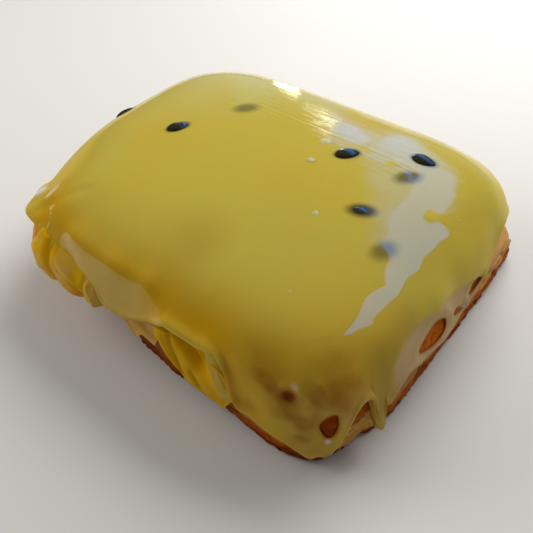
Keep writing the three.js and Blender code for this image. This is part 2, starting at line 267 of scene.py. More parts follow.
def reach(plan, angle, inset=0.0):
    """Distance from the axis to an outline drawn in by inset."""
    across, along_y = np.cos(angle), np.sin(angle)
    a = np.where(across >= 0, plan["right"], plan["left"]) - inset
    b = np.where(along_y >= 0, plan["back"], plan["front"]) - inset
    front = np.where(across >= 0, plan["right_front"], plan["left_front"])
    back = np.where(across >= 0, plan["right_back"], plan["left_back"])
    square = np.where(along_y >= 0, back, front)
    return (np.abs(across / a) ** square + np.abs(along_y / b) ** square) ** (-1 / square)


def sag(x, y):
    """How far the top has sunk over a point."""
    dips = [depth * smoothstep(1 - np.hypot(x - at_x, y - at_y) / wide) for at_x, at_y, wide, depth in SAGS]
    return sum(dips)


def top_height(x, y):
    """Height of the icing over a point of the top."""
    share = np.hypot(x, y) / reach(ICING_PLAN, np.arctan2(y, x))
    return HEIGHT * np.clip(1 - share ** SHOULDER, 0, None) ** (1 / SHOULDER) - sag(x, y)


def foot_angle(angle, height, inset):
    """The crown angle at which the side comes down to a height."""
    edge = reach(ICING_PLAN, angle, inset)
    level = height + sag(edge * np.cos(angle), edge * np.sin(angle))
    return np.arcsin(np.clip(level / (HEIGHT - inset), 0, 1) ** (SHOULDER / 2))


def crown_points(angle, crown_angle, inset):
    """Points of the crown, drawn in by inset and sunk where the top has sagged."""
    power = 2 / SHOULDER
    radius = reach(ICING_PLAN, angle, inset) * np.cos(crown_angle) ** power
    x, y = radius * np.cos(angle), radius * np.sin(angle)
    height = (HEIGHT - inset) * np.sin(crown_angle) ** power
    return np.stack([x, y, height - sag(x, y)], -1)


def side_points(angle, height, inset):
    """Points of the crown's side at a height."""
    return crown_points(angle, foot_angle(angle, height, inset), inset)


def polyline_distance(points, line):
    """Distance from each point to a line of straight pieces."""
    nearest = np.full(len(points), np.inf)
    for start, end in zip(np.array(line[:-1], float), np.array(line[1:], float)):
        step = end - start
        share = np.clip((points - start) @ step / (step @ step), 0, 1)
        nearest = np.minimum(nearest, np.linalg.norm(points - start - share[:, None] * step, axis=1))
    return nearest


def side_radius(angle, height, inset):
    """Distance from the axis to the crown's side at a height."""
    return np.linalg.norm(side_points(angle, height, inset)[..., :2], axis=-1)


def at_radius(angle, radius, height):
    """Points at an angle, a distance from the axis and a height."""
    radius, height = np.broadcast_arrays(radius, height)
    return np.stack([radius * np.cos(angle), radius * np.sin(angle), height], -1)


def spaced_angles(count, extra):
    """Rays from the axis, evenly spaced along the outline but closer together on the front and right."""
    fine = np.linspace(-math.pi, math.pi, FINE_RAYS)
    edge = at_radius(fine, reach(ICING_PLAN, fine), 0.0)
    steps = np.linalg.norm(np.diff(edge, axis=0), axis=1)
    steps *= 1 + extra * felt(SHOWN_SIDES, np.degrees(fine[1:]))
    passed = np.concatenate([[0], np.cumsum(steps)])
    return np.interp(np.arange(count) / count * passed[-1], passed, fine)


def crown_down(angle, low, shares, inset):
    """Rings of points down the crown, at shares of the way from the axis to the height low."""
    foot = foot_angle(angle, low, inset)
    fine = np.linspace(0, 1, FINE_RINGS)[None, :] ** FINE_EASE
    steep = math.pi / 2 - (math.pi / 2 - foot[:, None]) * fine
    points = crown_points(angle[:, None], steep, inset)
    steps = np.linalg.norm(np.diff(points, axis=1), axis=2)
    passed = np.concatenate([np.zeros((len(angle), 1)), np.cumsum(steps, axis=1)], axis=1)
    rows = []
    for line, length in zip(points, passed):
        wanted = np.asarray(shares) * length[-1]
        rows.append(np.stack([np.interp(wanted, length, line[:, k]) for k in range(3)], -1))
    return np.stack(rows)


def surface_normals(grid):
    """Outward normals of a grid of points whose first axis runs round the rim and whose second runs down."""
    round_rim = np.roll(grid, -1, axis=0) - np.roll(grid, 1, axis=0)
    down = np.gradient(grid, axis=1)
    normal = np.cross(down, round_rim)
    return normal / np.maximum(np.linalg.norm(normal, axis=-1, keepdims=True), 1e-9)


def new_object(name, points, faces=()):
    """A linked object with a new mesh, from points in metres."""
    mesh = bpy.data.meshes.new(name)
    mesh.from_pydata(points, [], faces)
    made = bpy.data.objects.new(name, mesh)
    bpy.context.scene.collection.objects.link(made)
    return made


def smooth_object(name, points, faces):
    """A new object whose faces are checked and shaded smooth."""
    made = new_object(name, points, faces)
    made.data.validate()
    made.data.shade_smooth()
    return made


def quads(*corners):
    """Faces from the four corners of each, given as arrays of point numbers."""
    return np.stack(corners, -1).reshape(-1, 4)


def shell(name, grid, low_pole, high_pole):
    """A closed mesh from a grid of rays and rings, in millimetres, with a point on the axis at each end."""
    rays, rings = grid.shape[:2]
    points = np.concatenate([grid.reshape(-1, 3), [low_pole, high_pole]]) * MM
    index = np.arange(rays * rings).reshape(rays, rings)
    after = np.roll(index, -1, axis=0)
    sides = quads(index[:, :-1], after[:, :-1], after[:, 1:], index[:, 1:])
    low, high = rays * rings, rays * rings + 1
    under = np.stack([np.full(rays, low), after[:, 0], index[:, 0]], -1)
    over = np.stack([np.full(rays, high), index[:, -1], after[:, -1]], -1)
    return smooth_object(name, points.tolist(), sides.tolist() + under.tolist() + over.tolist())


def coordinates(piece):
    """The vertices of a piece, in millimetres."""
    found = np.empty(len(piece.data.vertices) * 3, np.float32)
    piece.data.vertices.foreach_get("co", found)
    return found.reshape(-1, 3).astype(float) / MM


def paint(piece, name, values):
    """Keeps a number for each vertex, which a material reads by this name."""
    layer = piece.data.attributes.new(name, "FLOAT", "POINT")
    layer.data.foreach_set("value", np.asarray(values, np.float32))


def dress(piece, material, slot, *nodes):
    """Gives a finished piece its material and body and hides the solids that it stands in for. The slot is
    not used.
    """
    piece.data.materials.clear()
    piece.data.materials.append(material)
    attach(piece, BODY)
    if nodes:
        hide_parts(*nodes)


class Wire:
    """A socket that gives a number. Python's operators on it add Math nodes."""

    def __init__(self, graph, socket):
        self.graph = graph
        self.socket = socket

    def math(self, operation, first, second):
        return self.graph.add("ShaderNodeMath", {"operation": operation}, {0: first, 1: second})

    def other(self, output):
        """Another output of the same node."""
        return Wire(self.graph, self.socket.node.outputs[output])

    def __add__(self, other):
        return self.math("ADD", self, other)

    def __sub__(self, other):
        return self.math("SUBTRACT", self, other)

    def __rsub__(self, other):
        return self.math("SUBTRACT", other, self)

    def __mul__(self, other):
        return self.math("MULTIPLY", self, other)

    def __truediv__(self, other):
        return self.math("DIVIDE", self, other)

    def __rtruediv__(self, other):
        return self.math("DIVIDE", other, self)

    __radd__ = __add__
    __rmul__ = __mul__


class Graph:
    """A node tree that is written as calls and expressions."""

    def __init__(self, tree):
        self.tree = tree

    def add(self, kind, settings=None, inputs=None, output=0):
        """Adds a node, applies its settings, then sets or links its sockets, and returns one output."""
        node = self.tree.nodes.new(kind)
        for name, value in (settings or {}).items():
            setattr(node, name, value)
        for name, value in (inputs or {}).items():
            if isinstance(value, Wire):
                self.tree.links.new(value.socket, node.inputs[name])
            else:
                node.inputs[name].default_value = value
        return Wire(self, node.outputs[output]) if len(node.outputs) else node

    def mix(self, share, first, second):
        """The second colour over the first."""
        colours = [c if isinstance(c, Wire) else (*tuple(c)[:3], 1) for c in (first, second)]
        settings = {"data_type": "RGBA", "clamp_factor": True}
        return self.add("ShaderNodeMix", settings, {0: share, 6: colours[0], 7: colours[1]}, output=2)

    def painted(self, name):
        """A number that paint kept for each vertex."""
        return self.add("ShaderNodeAttribute", {"attribute_name": name}, output=2)

    def here(self):
        """Object coordinates."""
        return self.add("ShaderNodeTexCoord", output=3)

    def place(self, scale=(1, 1, 1)):
        """Object coordinates, stretched."""
        return self.add("ShaderNodeMapping", {}, {"Vector": self.here(), "Scale": scale})

    def part(self, vector, axis):
        """One coordinate of a vector."""
        return self.add("ShaderNodeSeparateXYZ", {}, {0: vector}, output="XYZ".index(axis))

    def scaled(self, vector, factors):
        """A vector times another, coordinate by coordinate."""
        return self.add("ShaderNodeVectorMath", {"operation": "MULTIPLY"}, {0: vector, 1: factors})

    def largest(self, wires):
        """The largest of several numbers."""
        found = wires[0]
        for wire in wires[1:]:
            found = found.math("MAXIMUM", found, wire)
        return found

    def noise(self, scale, detail=3.0, stretch=(1, 1, 1), rough=0.55):
        """Smooth noise with about scale features to the metre."""
        inputs = {"Vector": self.place(stretch), "Scale": scale, "Detail": detail, "Roughness": rough}
        return self.add("ShaderNodeTexNoise", {}, inputs)

    def ranged(self, value, low, high, first=0.0, last=1.0):
        """The value moved from one range to another, eased at both ends."""
        settings = {"interpolation_type": "SMOOTHSTEP"}
        inputs = {"Value": value, "From Min": low, "From Max": high, "To Min": first, "To Max": last}
        return self.add("ShaderNodeMapRange", settings, inputs)

    def bump(self, strength, depth, relief):
        """A normal that follows relief, which is depth millimetres deep."""
        inputs = {"Strength": strength, "Distance": depth * MM, "Height": relief}
        return self.add("ShaderNodeBump", {}, inputs)


# What changes in a shader where a surface is wet.
WET = {"Roughness": 0.045, "IOR": 1.5, "Specular IOR Level": 0.5}


def blank_material(name):
    """A material without nodes, and the graph that fills it."""
    material = bpy.data.materials.new(name)
    material.use_nodes = True
    material.node_tree.nodes.clear()
    return material, Graph(material.node_tree)


def new_material(name, build):
    """A material whose shader sockets are filled by build(graph), wet as far as build's wet share says."""
    material, graph = blank_material(name)
    finish = build(graph)
    share = finish.pop("wet", None)
    surface = graph.add("ShaderNodeBsdfPrincipled", {}, finish)
    if share is not None:
        gleam = graph.add("ShaderNodeBsdfPrincipled", {}, {**finish, **WET})
        surface = graph.add("ShaderNodeMixShader", {}, {0: share, 1: surface, 2: gleam})
    graph.add("ShaderNodeOutputMaterial", {}, {"Surface": surface})
    return material


def length_property(name, description, default):
    """A size that a user would change, given in millimetres."""
    return bpy.props.FloatProperty(name=name, description=description, default=default * MM, unit="LENGTH")


def colour_property(name, description, *screen):
    """A colour that a user would change, given as red, green and blue screen values."""
    return bpy.props.FloatVectorProperty(
        name=name, description=description, default=linear(*screen), subtype="COLOR")


class SliceSizes(bpy.types.PropertyGroup):
    """Sizes that a user would change."""

    bead: length_property("Edge bead", "How far the icing's edge swells", 0.35)
    film: length_property("Glaze step", "How far thin glaze lies under thick icing", 1.0)
    flow: length_property("Flow waves", "Height of the waves where icing ran down", 0.16)
    seed_long: length_property("Seed length", "Half the length of a seed", 2.75)
    seed_wide: length_property("Seed width", "Half the width of a seed", 1.75)
    seed_thick: length_property("Seed thickness", "Half the thickness of a seed", 1.0)
    flake: length_property("Flake depth", "How uneven the pastry layers are", 0.45)
    floor: length_property("Floor", "Width of the floor", 3000)


class SliceColours(bpy.types.PropertyGroup):
    """Colours that a user would change."""

    icing: colour_property("Icing", "Thick icing on the top", 194, 175, 72)
    # Also laid on the front of the icing, partly as painted shade.
    icing_deep: colour_property("Deep icing", "Icing down the sides", 212, 158, 4)
    glaze: colour_property("Glaze", "Thin glaze over crust", 184, 154, 112)
    glaze_pale: colour_property("Pale glaze", "The hanging sheet where it is clearest", 196, 162, 100)
    show_through: colour_property("Show-through", "Crust seen through icing", 146, 74, 4)
    # The colour of painted shade on the icing: laid on the right front face, over the left band and in clouds
    # on the top.
    painted_shade: colour_property("Icing over crust", "Icing that crust darkens", 122, 100, 48)
    bubble: colour_property("Bubble", "Icing stretched over a bubble", 200, 196, 166)
    custard: colour_property("Custard", "Set custard", 216, 165, 4)
    custard_pale: colour_property("Pale custard", "Custard where it is stretched thin", 206, 162, 74)
    crust: colour_property("Crust", "Browned crust", 186, 92, 0)
    crust_dark: colour_property("Dark crust", "Crust at its darkest", 122, 44, 4)
    crust_pale: colour_property("Pale crust", "Crust at its palest", 194, 154, 94)
    blister: colour_property("Blister", "Tops of the upper sheet's blisters", 206, 122, 12)
    # Made light enough to act as painted light in the shade under the front drip.
    crumb: colour_property("Crumb", "Soft inside of the pastry", 230, 182, 90)
    # Also the colour of a painted reflection on the left flap and a painted highlight above the dimple.
    sugar: colour_property("Sugar", "Flecks of sugar", 206, 196, 178)
    seed: colour_property("Seed", "Seed skin", 48, 46, 34)
    seed_pit: colour_property("Seed pits", "Fine pits in the seed skin", 66, 62, 42)
    floor: colour_property("Floor", "Floor of the stage", 226, 224, 221)
    mottle: colour_property("Mottle", "Faint mottle of the floor", 214, 212, 206)


def sizes():
    return bpy.context.scene.slice_sizes


def colours():
    return bpy.context.scene.slice_colours


# A seed's dark shade in the icing: depth that it reaches, softness at its edge, more where it is sunk, and
# the shares of the seed's size and of its colour that it has.
SHADE_DEEP = 10
SHADE_SOFT = 0.22
SHADE_SUNK_SOFT = 0.3
SHADE_EDGES = (1.15, 0.95)
SHADE_DARK = 0.95
SHADE_SUNK_PALER = 0.35
FLECK_SOFT = 0.5
DULL_SOFT = 0.2


def milky(weight, depth, blue=0.15):
    """Sockets of a finish that light soaks into, down to a depth in millimetres."""
    return {
        "Subsurface Weight": weight, "Subsurface Radius": (1.0, 0.6, blue), "Subsurface Scale": depth * MM,
    }


def seed_shade(graph):
    """How dark each seed shows: sharp where it stands out of the icing, soft where it is sunk."""
    size = sizes()
    spot = graph.here()
    shades = []
    for x, y, turned, shown in SEEDS:
        inputs = {
            "Vector": spot,
            "Location": (x * MM, y * MM, HEIGHT * MM),
            "Rotation": (0, 0, math.radians(turned)),
            "Scale": (size.seed_long, size.seed_wide, SHADE_DEEP * MM),
        }
        local = graph.add("ShaderNodeMapping", {"vector_type": "TEXTURE"}, inputs)
        away = graph.add("ShaderNodeVectorMath", {"operation": "LENGTH"}, {0: local}, output=1)
        soft = SHADE_SOFT + SHADE_SUNK_SOFT * (1 - shown)
        dark = SHADE_DARK - SHADE_SUNK_PALER * (1 - shown) ** 5
        shades.append(graph.ranged(away, SHADE_EDGES[0] + soft, SHADE_EDGES[1] - soft, 0.0, dark))
    return graph.largest(shades)


def spots(graph, places, soft):
    """Round spots given by place, radius and the share inside, which falls to 0 over a soft edge."""
    here = graph.here()
    found = []
    for x, y, z, radius, share in places:
        middle = (x * MM, y * MM, z * MM)
        away = graph.add("ShaderNodeVectorMath", {"operation": "DISTANCE"}, {0: here, 1: middle}, output=1)
        found.append(graph.ranged(away, radius * (1 + soft) * MM, radius * (1 - soft) * MM, 0.0, share))
    return graph.largest(found)


def icing_finish(graph):
    """Wet icing, paler where it is thin, with seeds and crust showing through, with painted shade, and with a
    painted reflection and a painted highlight among its pale flecks.
    """
    tint = colours()
    brown = graph.painted("brown")
    cloud = graph.ranged(graph.noise(45, 3), 0.35, 0.7)
    speck = graph.ranged(graph.noise(500, 2), 0.4, 0.7)
    # Deep gold down the sides: partly the icing's deeper colour where it runs thick, partly painted shade,
    # laid on most on the front, which faces away from the lamps.
    colour = graph.mix(graph.painted("steep") * (0.75 + 0.25 * cloud), tint.icing, tint.icing_deep)
    colour = graph.mix(cloud * 0.15, colour, tint.icing_deep)
    # Painted shade: the icing is darkened on the right front face, over the left band and in clouds on the
    # top.
    colour = graph.mix(graph.painted("under"), colour, tint.painted_shade)
    colour = graph.mix(graph.painted("thin") * (0.8 + 0.2 * speck), colour, tint.glaze)
    colour = graph.mix(brown * (0.8 + 0.2 * speck), colour, tint.show_through)
    colour = graph.mix(graph.ranged(brown, 0.7, 1.0), colour, tint.crust_dark)
    colour = graph.mix(seed_shade(graph), colour, tint.seed)
    # Pale flecks, with a painted reflection on the left flap and a painted highlight above the dimple.
    colour = graph.mix(spots(graph, FLECKS_AND_HIGHLIGHTS, FLECK_SOFT), colour, tint.sugar)
    dull = [(x, y, top_height(x, y), radius, 1.0) for x, y, radius in DULL_SPOTS]
    lines = graph.noise(1, 3, stretch=(18, 1300, 300))
    relief = lines * graph.painted("drag") + graph.noise(350, 2) * 0.05
    return {
        "Base Color": colour,
        "wet": graph.painted("gloss") * (1 - spots(graph, dull, DULL_SOFT)),
        "Roughness": 0.35 + cloud * 0.1,
        "Specular IOR Level": 0.04,
        "Normal": graph.bump(0.4, 0.2, relief),
        **milky(0.3, 1.5),
    }


def custard_finish(graph):
    """Moist custard, creased and a little cloudy."""
    tint = colours()
    cloud = graph.ranged(graph.noise(160, 3), 0.35, 0.7)
    colour = graph.mix(cloud * 0.3, tint.custard, tint.icing_deep)
    colour = graph.mix(graph.painted("pale"), colour, tint.custard_pale)
    colour = graph.mix(graph.painted("orange") * 0.6, colour, tint.crust)
    return {
        "Base Color": colour,
        "Roughness": 0.4 + cloud * 0.15,
        "Specular IOR Level": 0.05,
        "Normal": graph.bump(0.3, 0.2, graph.noise(500, 3)),
        **milky(0.3, 1.2),
    }


def crust_finish(graph):
    """Golden baked crust with small blisters."""
    tint = colours()
    cells = graph.add("ShaderNodeTexVoronoi", {}, {"Vector": graph.place(), "Scale": 1100})
    patch = graph.noise(450, 4)
    colour = graph.mix(graph.ranged(patch, 0.25, 0.5), tint.crust_dark, tint.crust)
    colour = graph.mix(graph.ranged(cells, 0.5, 0.05) * 0.35, colour, tint.blister)
    # Painted shade: darker crust where it lies in the front gaps.
    colour = graph.mix(graph.painted("dark"), colour, tint.crust_dark)
    return {
        "Base Color": colour,
        "Roughness": 0.5 + patch * 0.2,
        "Specular IOR Level": 0.02,
        "Normal": graph.bump(0.6, 0.5, cells * -0.4 + patch),
    }


def base_finish(graph):
    """Layered pastry: dark at the foot, tan above, with pale cut edges between the layers."""
    tint = colours()
    patch = graph.noise(140, 4)
    layers = graph.noise(1, 3, stretch=(90, 90, 2200))
    level = graph.part(graph.place(), "Z") / MM + (patch - 0.5) * 3
    colour = graph.mix(graph.ranged(level, 1.2, 3.4), tint.crust_dark, tint.crust)
    colour = graph.mix(graph.ranged(level, 2.8, 5.2) * 0.8, colour, tint.crust_pale)
    colour = graph.mix(graph.ranged(layers, 0.5, 0.72) * 0.35, colour, tint.crust_dark)
    colour = graph.mix(graph.painted("dark"), colour, tint.crust_dark)
    # Pale tan on the front corner: the pastry's own tan, made lighter as painted light in the shade under the
    # drip.
    colour = graph.mix(graph.painted("tan"), colour, tint.crumb)
    return {
        "Base Color": colour,
        "Roughness": 0.6 + patch * 0.2,
        "Specular IOR Level": 0.15,
        "Normal": graph.bump(0.6, 0.4, layers + graph.noise(900, 4) * 0.5),
    }


def seed_finish(graph):
    """Hard shiny seed skin with a fine pitted grain."""
    tint = colours()
    pits = graph.noise(1600, 3)
    return {
        "Base Color": graph.mix(graph.ranged(pits, 0.4, 0.75), tint.seed, tint.seed_pit),
        "Roughness": 0.12 + pits * 0.12,
        "IOR": 1.5,
        "Normal": graph.bump(0.25, 0.1, pits),
    }


def bubble_finish(graph):
    """Clear pale icing stretched over a bubble."""
    tint = colours()
    cloud = graph.noise(900, 2)
    return {
        "Base Color": graph.mix(graph.ranged(cloud, 0.3, 0.7) * 0.3 + 0.3, tint.icing, tint.bubble),
        "Roughness": 0.035 + cloud * 0.02,
        "IOR": 1.45,
        **milky(0.3, 0.8),
    }


def glaze_finish(graph):
    """Thin set glaze, pale and half clear."""
    tint = colours()
    cloud = graph.noise(400, 3)
    return {
        "Base Color": graph.mix(graph.ranged(cloud, 0.35, 0.7) * 0.4 + 0.3, tint.glaze_pale, tint.icing_deep),
        "Roughness": 0.4 + cloud * 0.1,
        "Specular IOR Level": 0.15,
        **milky(0.4, 1.0, blue=0.2),
    }


def floor_finish(graph):
    """Pale matt board."""
    tint = colours()
    mottle = graph.noise(6, 3)
    return {
        "Base Color": graph.mix(graph.ranged(mottle, 0.3, 0.7) * 0.08, tint.floor, tint.mottle),
        "Roughness": 0.75 + mottle * 0.1,
        "Specular IOR Level": 0.2,
    }


def finger_arc(at, degrees):
    """Distance along the rim from the middle of a finger."""
    return np.abs(turned_from(at, degrees)) * DEGREE * reach(ICING_PLAN, math.radians(at))


def hem_lines(degrees):
    """Heights of the thick icing's edge and of the glaze's edge below it."""
    thick = along(HEM, degrees)
    for at, half, tip in FINGERS:
        share = np.clip(1 - (finger_arc(at, degrees) / half) ** 2, 0, 1) ** FINGER_BLUNT
        thick = thick - np.clip(thick - tip, 0, None) * share
    return thick, thick - LIP_DROP - along(CURTAINS, degrees)


def rounded(outline, passes=2):
    """An outline with its corners cut, as points in place of each corner."""
    points = np.array(outline, float)
    for _ in range(passes):
        after = np.roll(points, -1, axis=0)
        points = np.stack([points * 0.75 + after * 0.25, points * 0.25 + after * 0.75], 1).reshape(-1, 2)
    return points


def rim_away(spot, degrees, height):
    """Distance in millimetres from a spot on the side, given by angle and height."""
    degree = DEGREE * float(side_radius(math.radians(spot[0]), spot[1], 0.0))
    return np.hypot(turned_from(spot[0], degrees) * degree, height - spot[1])


def rim_gap(outline, degrees, height):
    """Distance in millimetres from a gap's outline on the side, negative inside it."""
    middle = np.mean(outline, axis=0)
    degree = DEGREE * float(side_radius(math.radians(middle[0]), middle[1], 0.0))
    spots = np.stack([turned_from(middle[0], degrees) * degree, height - middle[1]], -1)
    corners = (rounded(outline) - middle) * [degree, 1]
    closed = np.concatenate([corners, corners[:1]])
    away = polyline_distance(spots, closed)
    inside = np.zeros(len(spots), bool)
    for (ax, ay), (bx, by) in zip(closed[:-1], closed[1:]):
        crosses = (ay > spots[:, 1]) != (by > spots[:, 1])
        rise = by - ay if by != ay else 1e-9
        inside ^= crosses & (spots[:, 0] < (bx - ax) * (spots[:, 1] - ay) / rise + ax)
    return np.where(inside, -away, away)


# The icing's mesh: rays round the axis and how much closer they lie on the sides that show, rings of the
# top, the side, the film under the edge and the inside, and where the top's rings give way to the side's.
ICING_RAYS = (740, 1.2)
TOP_RINGS = 58
SIDE_RINGS = 42
FILM_RINGS = 10
INNER_RINGS = 10
SIDE_START = 23.5
# Gaps and dents of the side stay below this height.
SIDE_TOP = HEIGHT - 4
# The bead's middle over the edge and its width.
BEAD_RISE = 0.7
BEAD_WIDE = 0.9
# How uneven the shoulder is, how far thin glaze lies in, how far a finger stands out and its sides tuck in,
# the ridge round a gap, and how the flares ease in down the side.
SHOULDER_UNEVEN = 0.35
GLAZE_SUNK = 0.35
FINGER_OUT = 0.7
FINGER_TUCK = 0.55
GAP_RIDGE = 0.15
FLARE_EASE = 1.2
# How far the icing lifts round a sunk seed, how much less round one that stands out, and how wide.
SEED_LIFT = (0.05, 0.03, 2.6)


def side_rings(angle, high, low, count):
    """Rings down the side from one height of each ray to another, without the first."""
    steps = np.arange(1, count + 1) / count
    return side_points(angle[:, None], high[:, None] + (low - high)[:, None] * steps, 0.0)


def icing_relief(face, degrees, thick):
    """How far each point of the icing's outside stands out from the plain crown."""
    size = sizes()
    height = face[..., 2]
    above = height - thick[:, None]
    turn = np.broadcast_to(degrees[:, None], height.shape)
    flat = face.reshape(-1, 3)
    on_side = height < SIDE_TOP

    def waves(upright, wide, seed):
        """Unevenness of the outside, drawn out down the side where upright is under 1."""
        return swell(flat * [1, 1, upright], wide, seed).reshape(height.shape)

    bead = size.bead / MM + moved(BEADS, degrees)
    move = bead[:, None] * bell(above - BEAD_RISE, BEAD_WIDE)
    move -= size.film / MM * smoothstep(-above / LIP_DROP)
    for *spot, out, level, spread in SHOULDERS:
        uneven = 1 + SHOULDER_UNEVEN * waves(1, 7, 9)
        move += out * uneven * felt(spot, turn) * bell(height - level, spread)
    move -= GLAZE_SUNK * felt(GLAZE_SPAN, turn) * below(along(GLAZE_TOP, turn), 1.6, height)
    ripple = waves(0.7, 8, 6)
    run = size.flow / MM * (waves(0.35, 13, 5) + 0.35 * ripple) * below(HEIGHT - 3, 6, height)
    move += run + 0.1 * waves(1, 30, 8) + 0.012 * ripple
    for at, half, tip in FINGERS:
        arc = finger_arc(at, turn)
        move += FINGER_OUT * np.clip(1 - (arc / (half * 1.4)) ** 2, 0, 1) * below(tip + 6.5, 4, height)
        free = below(along(HEM, degrees)[:, None] - LIP_DROP, 3.5, height)
        move -= FINGER_TUCK * free * np.where(arc < half, (arc / half) ** 2, 0)
    for dip, rise, outline in HOLES:
        away = rim_gap(outline, turn.ravel(), height.ravel()).reshape(height.shape)
        move += np.where(on_side, GAP_RIDGE * bell(away - 2, 0.9), 0)
        move -= np.where(on_side, dip * bell(np.clip(away, 0, None), 0.5 + dip), 0)
    move -= np.where(on_side, DIMPLE[3] * bell(rim_away(DIMPLE, turn, height), DIMPLE[2]), 0)
    for depth, width, line in CREASES:
        move -= depth * bell(polyline_distance(flat, line).reshape(height.shape), width)
    for x, y, turned, shown in SEEDS:
        away = np.linalg.norm(face - [x, y, top_height(x, y)], axis=-1)
        move += (SEED_LIFT[0] - SEED_LIFT[1] * shown) * bell(away, SEED_LIFT[2])
    for x, y, radius, rise in DROPS:
        move += rise * bell(np.hypot(face[..., 0] - x, face[..., 1] - y), radius)
    return move


def icing_grid(angle):
    """The icing's rings, from its inner axis point down to the edge and up the outside."""
    degrees = np.degrees(angle)
    thick, thin = hem_lines(degrees)
    start = np.full(len(angle), SIDE_START)
    top = crown_down(angle, start, np.linspace(0.02, 1, TOP_RINGS), 0.0)
    side = side_rings(angle, start, thick, SIDE_RINGS)
    film = side_rings(angle, thick, thin, FILM_RINGS)
    face = np.concatenate([top, side, film], axis=1)
    fall = (BROW - face[..., 2]) / np.maximum(BROW - thick[:, None], 1)
    spread = np.clip(fall, 0, 1.0) ** FLARE_EASE
    face = face + surface_normals(face) * icing_relief(face, degrees, thick)[..., None]
    face += at_radius(angle[:, None], moved(FLARES, degrees)[:, None] * spread, 0.0)
    inner = crown_down(angle, thin + 0.3, np.linspace(0.08, 1, INNER_RINGS), ICING)
    under = 0.5 * (face[:, -1] + inner[:, -1])
    under[:, 2] = thin - 0.25
    return np.concatenate([inner, under[:, None], face[:, ::-1]], axis=1)


def cutter(outline):
    """A closed tool that cuts one gap through the icing."""
    middle = np.mean(outline, axis=0)
    outward = at_radius(math.radians(middle[0]), 1.0, 0.0)
    corners = rounded(outline)
    rim = side_points(np.radians(corners[:, 0]), corners[:, 1], 0.0)
    points = np.concatenate([rim + outward * HOLE_DEPTH, rim - outward * HOLE_DEPTH]) * MM
    count = len(rim)
    sides = [(k, (k + 1) % count, (k + 1) % count + count, k + count) for k in range(count)]
    ends = [tuple(range(count))[::-1], tuple(range(count, 2 * count))]
    tool = new_object("gap", points.tolist(), [*sides, *ends])
    tool.data.validate()
    if tool.data.polygons[-2].normal.dot(Vector(outward)) <= 0:
        tool.data.flip_normals()
    return tool


def applied(piece):
    """Turns a piece's modifiers into its plain mesh."""
    evaluated = piece.evaluated_get(bpy.context.evaluated_depsgraph_get())
    mesh = bpy.data.meshes.new_from_object(evaluated)
    piece.modifiers.clear()
    old = piece.data
    piece.data = mesh
    bpy.data.meshes.remove(old)


# Parts of the rim that the icing's colours follow: angle, half width and slope width in degrees.
THIN_CORNER = (-32, 6, 9)
THICK_FINGER = (-27.2, 1.3, 1.5)
CURTAIN_SPAN = (-57.6, 3, 2)
LEFT_BAND = (-104, 21, 6)
# Where painted shade darkens the icing's right front face.
SHADE_CORNER = (-21, 4, 7)
PALE_EDGE = (-66, 9, 4)
DULL_RIGHT = (0, 58, 8)
DULL_LEFT = (-165, 22, 8)
DULL_FRONT = (-66, 15, 6)
# Edges of the gaps that turn more than this are shaded sharp.
SHARP_EDGE = math.radians(50)


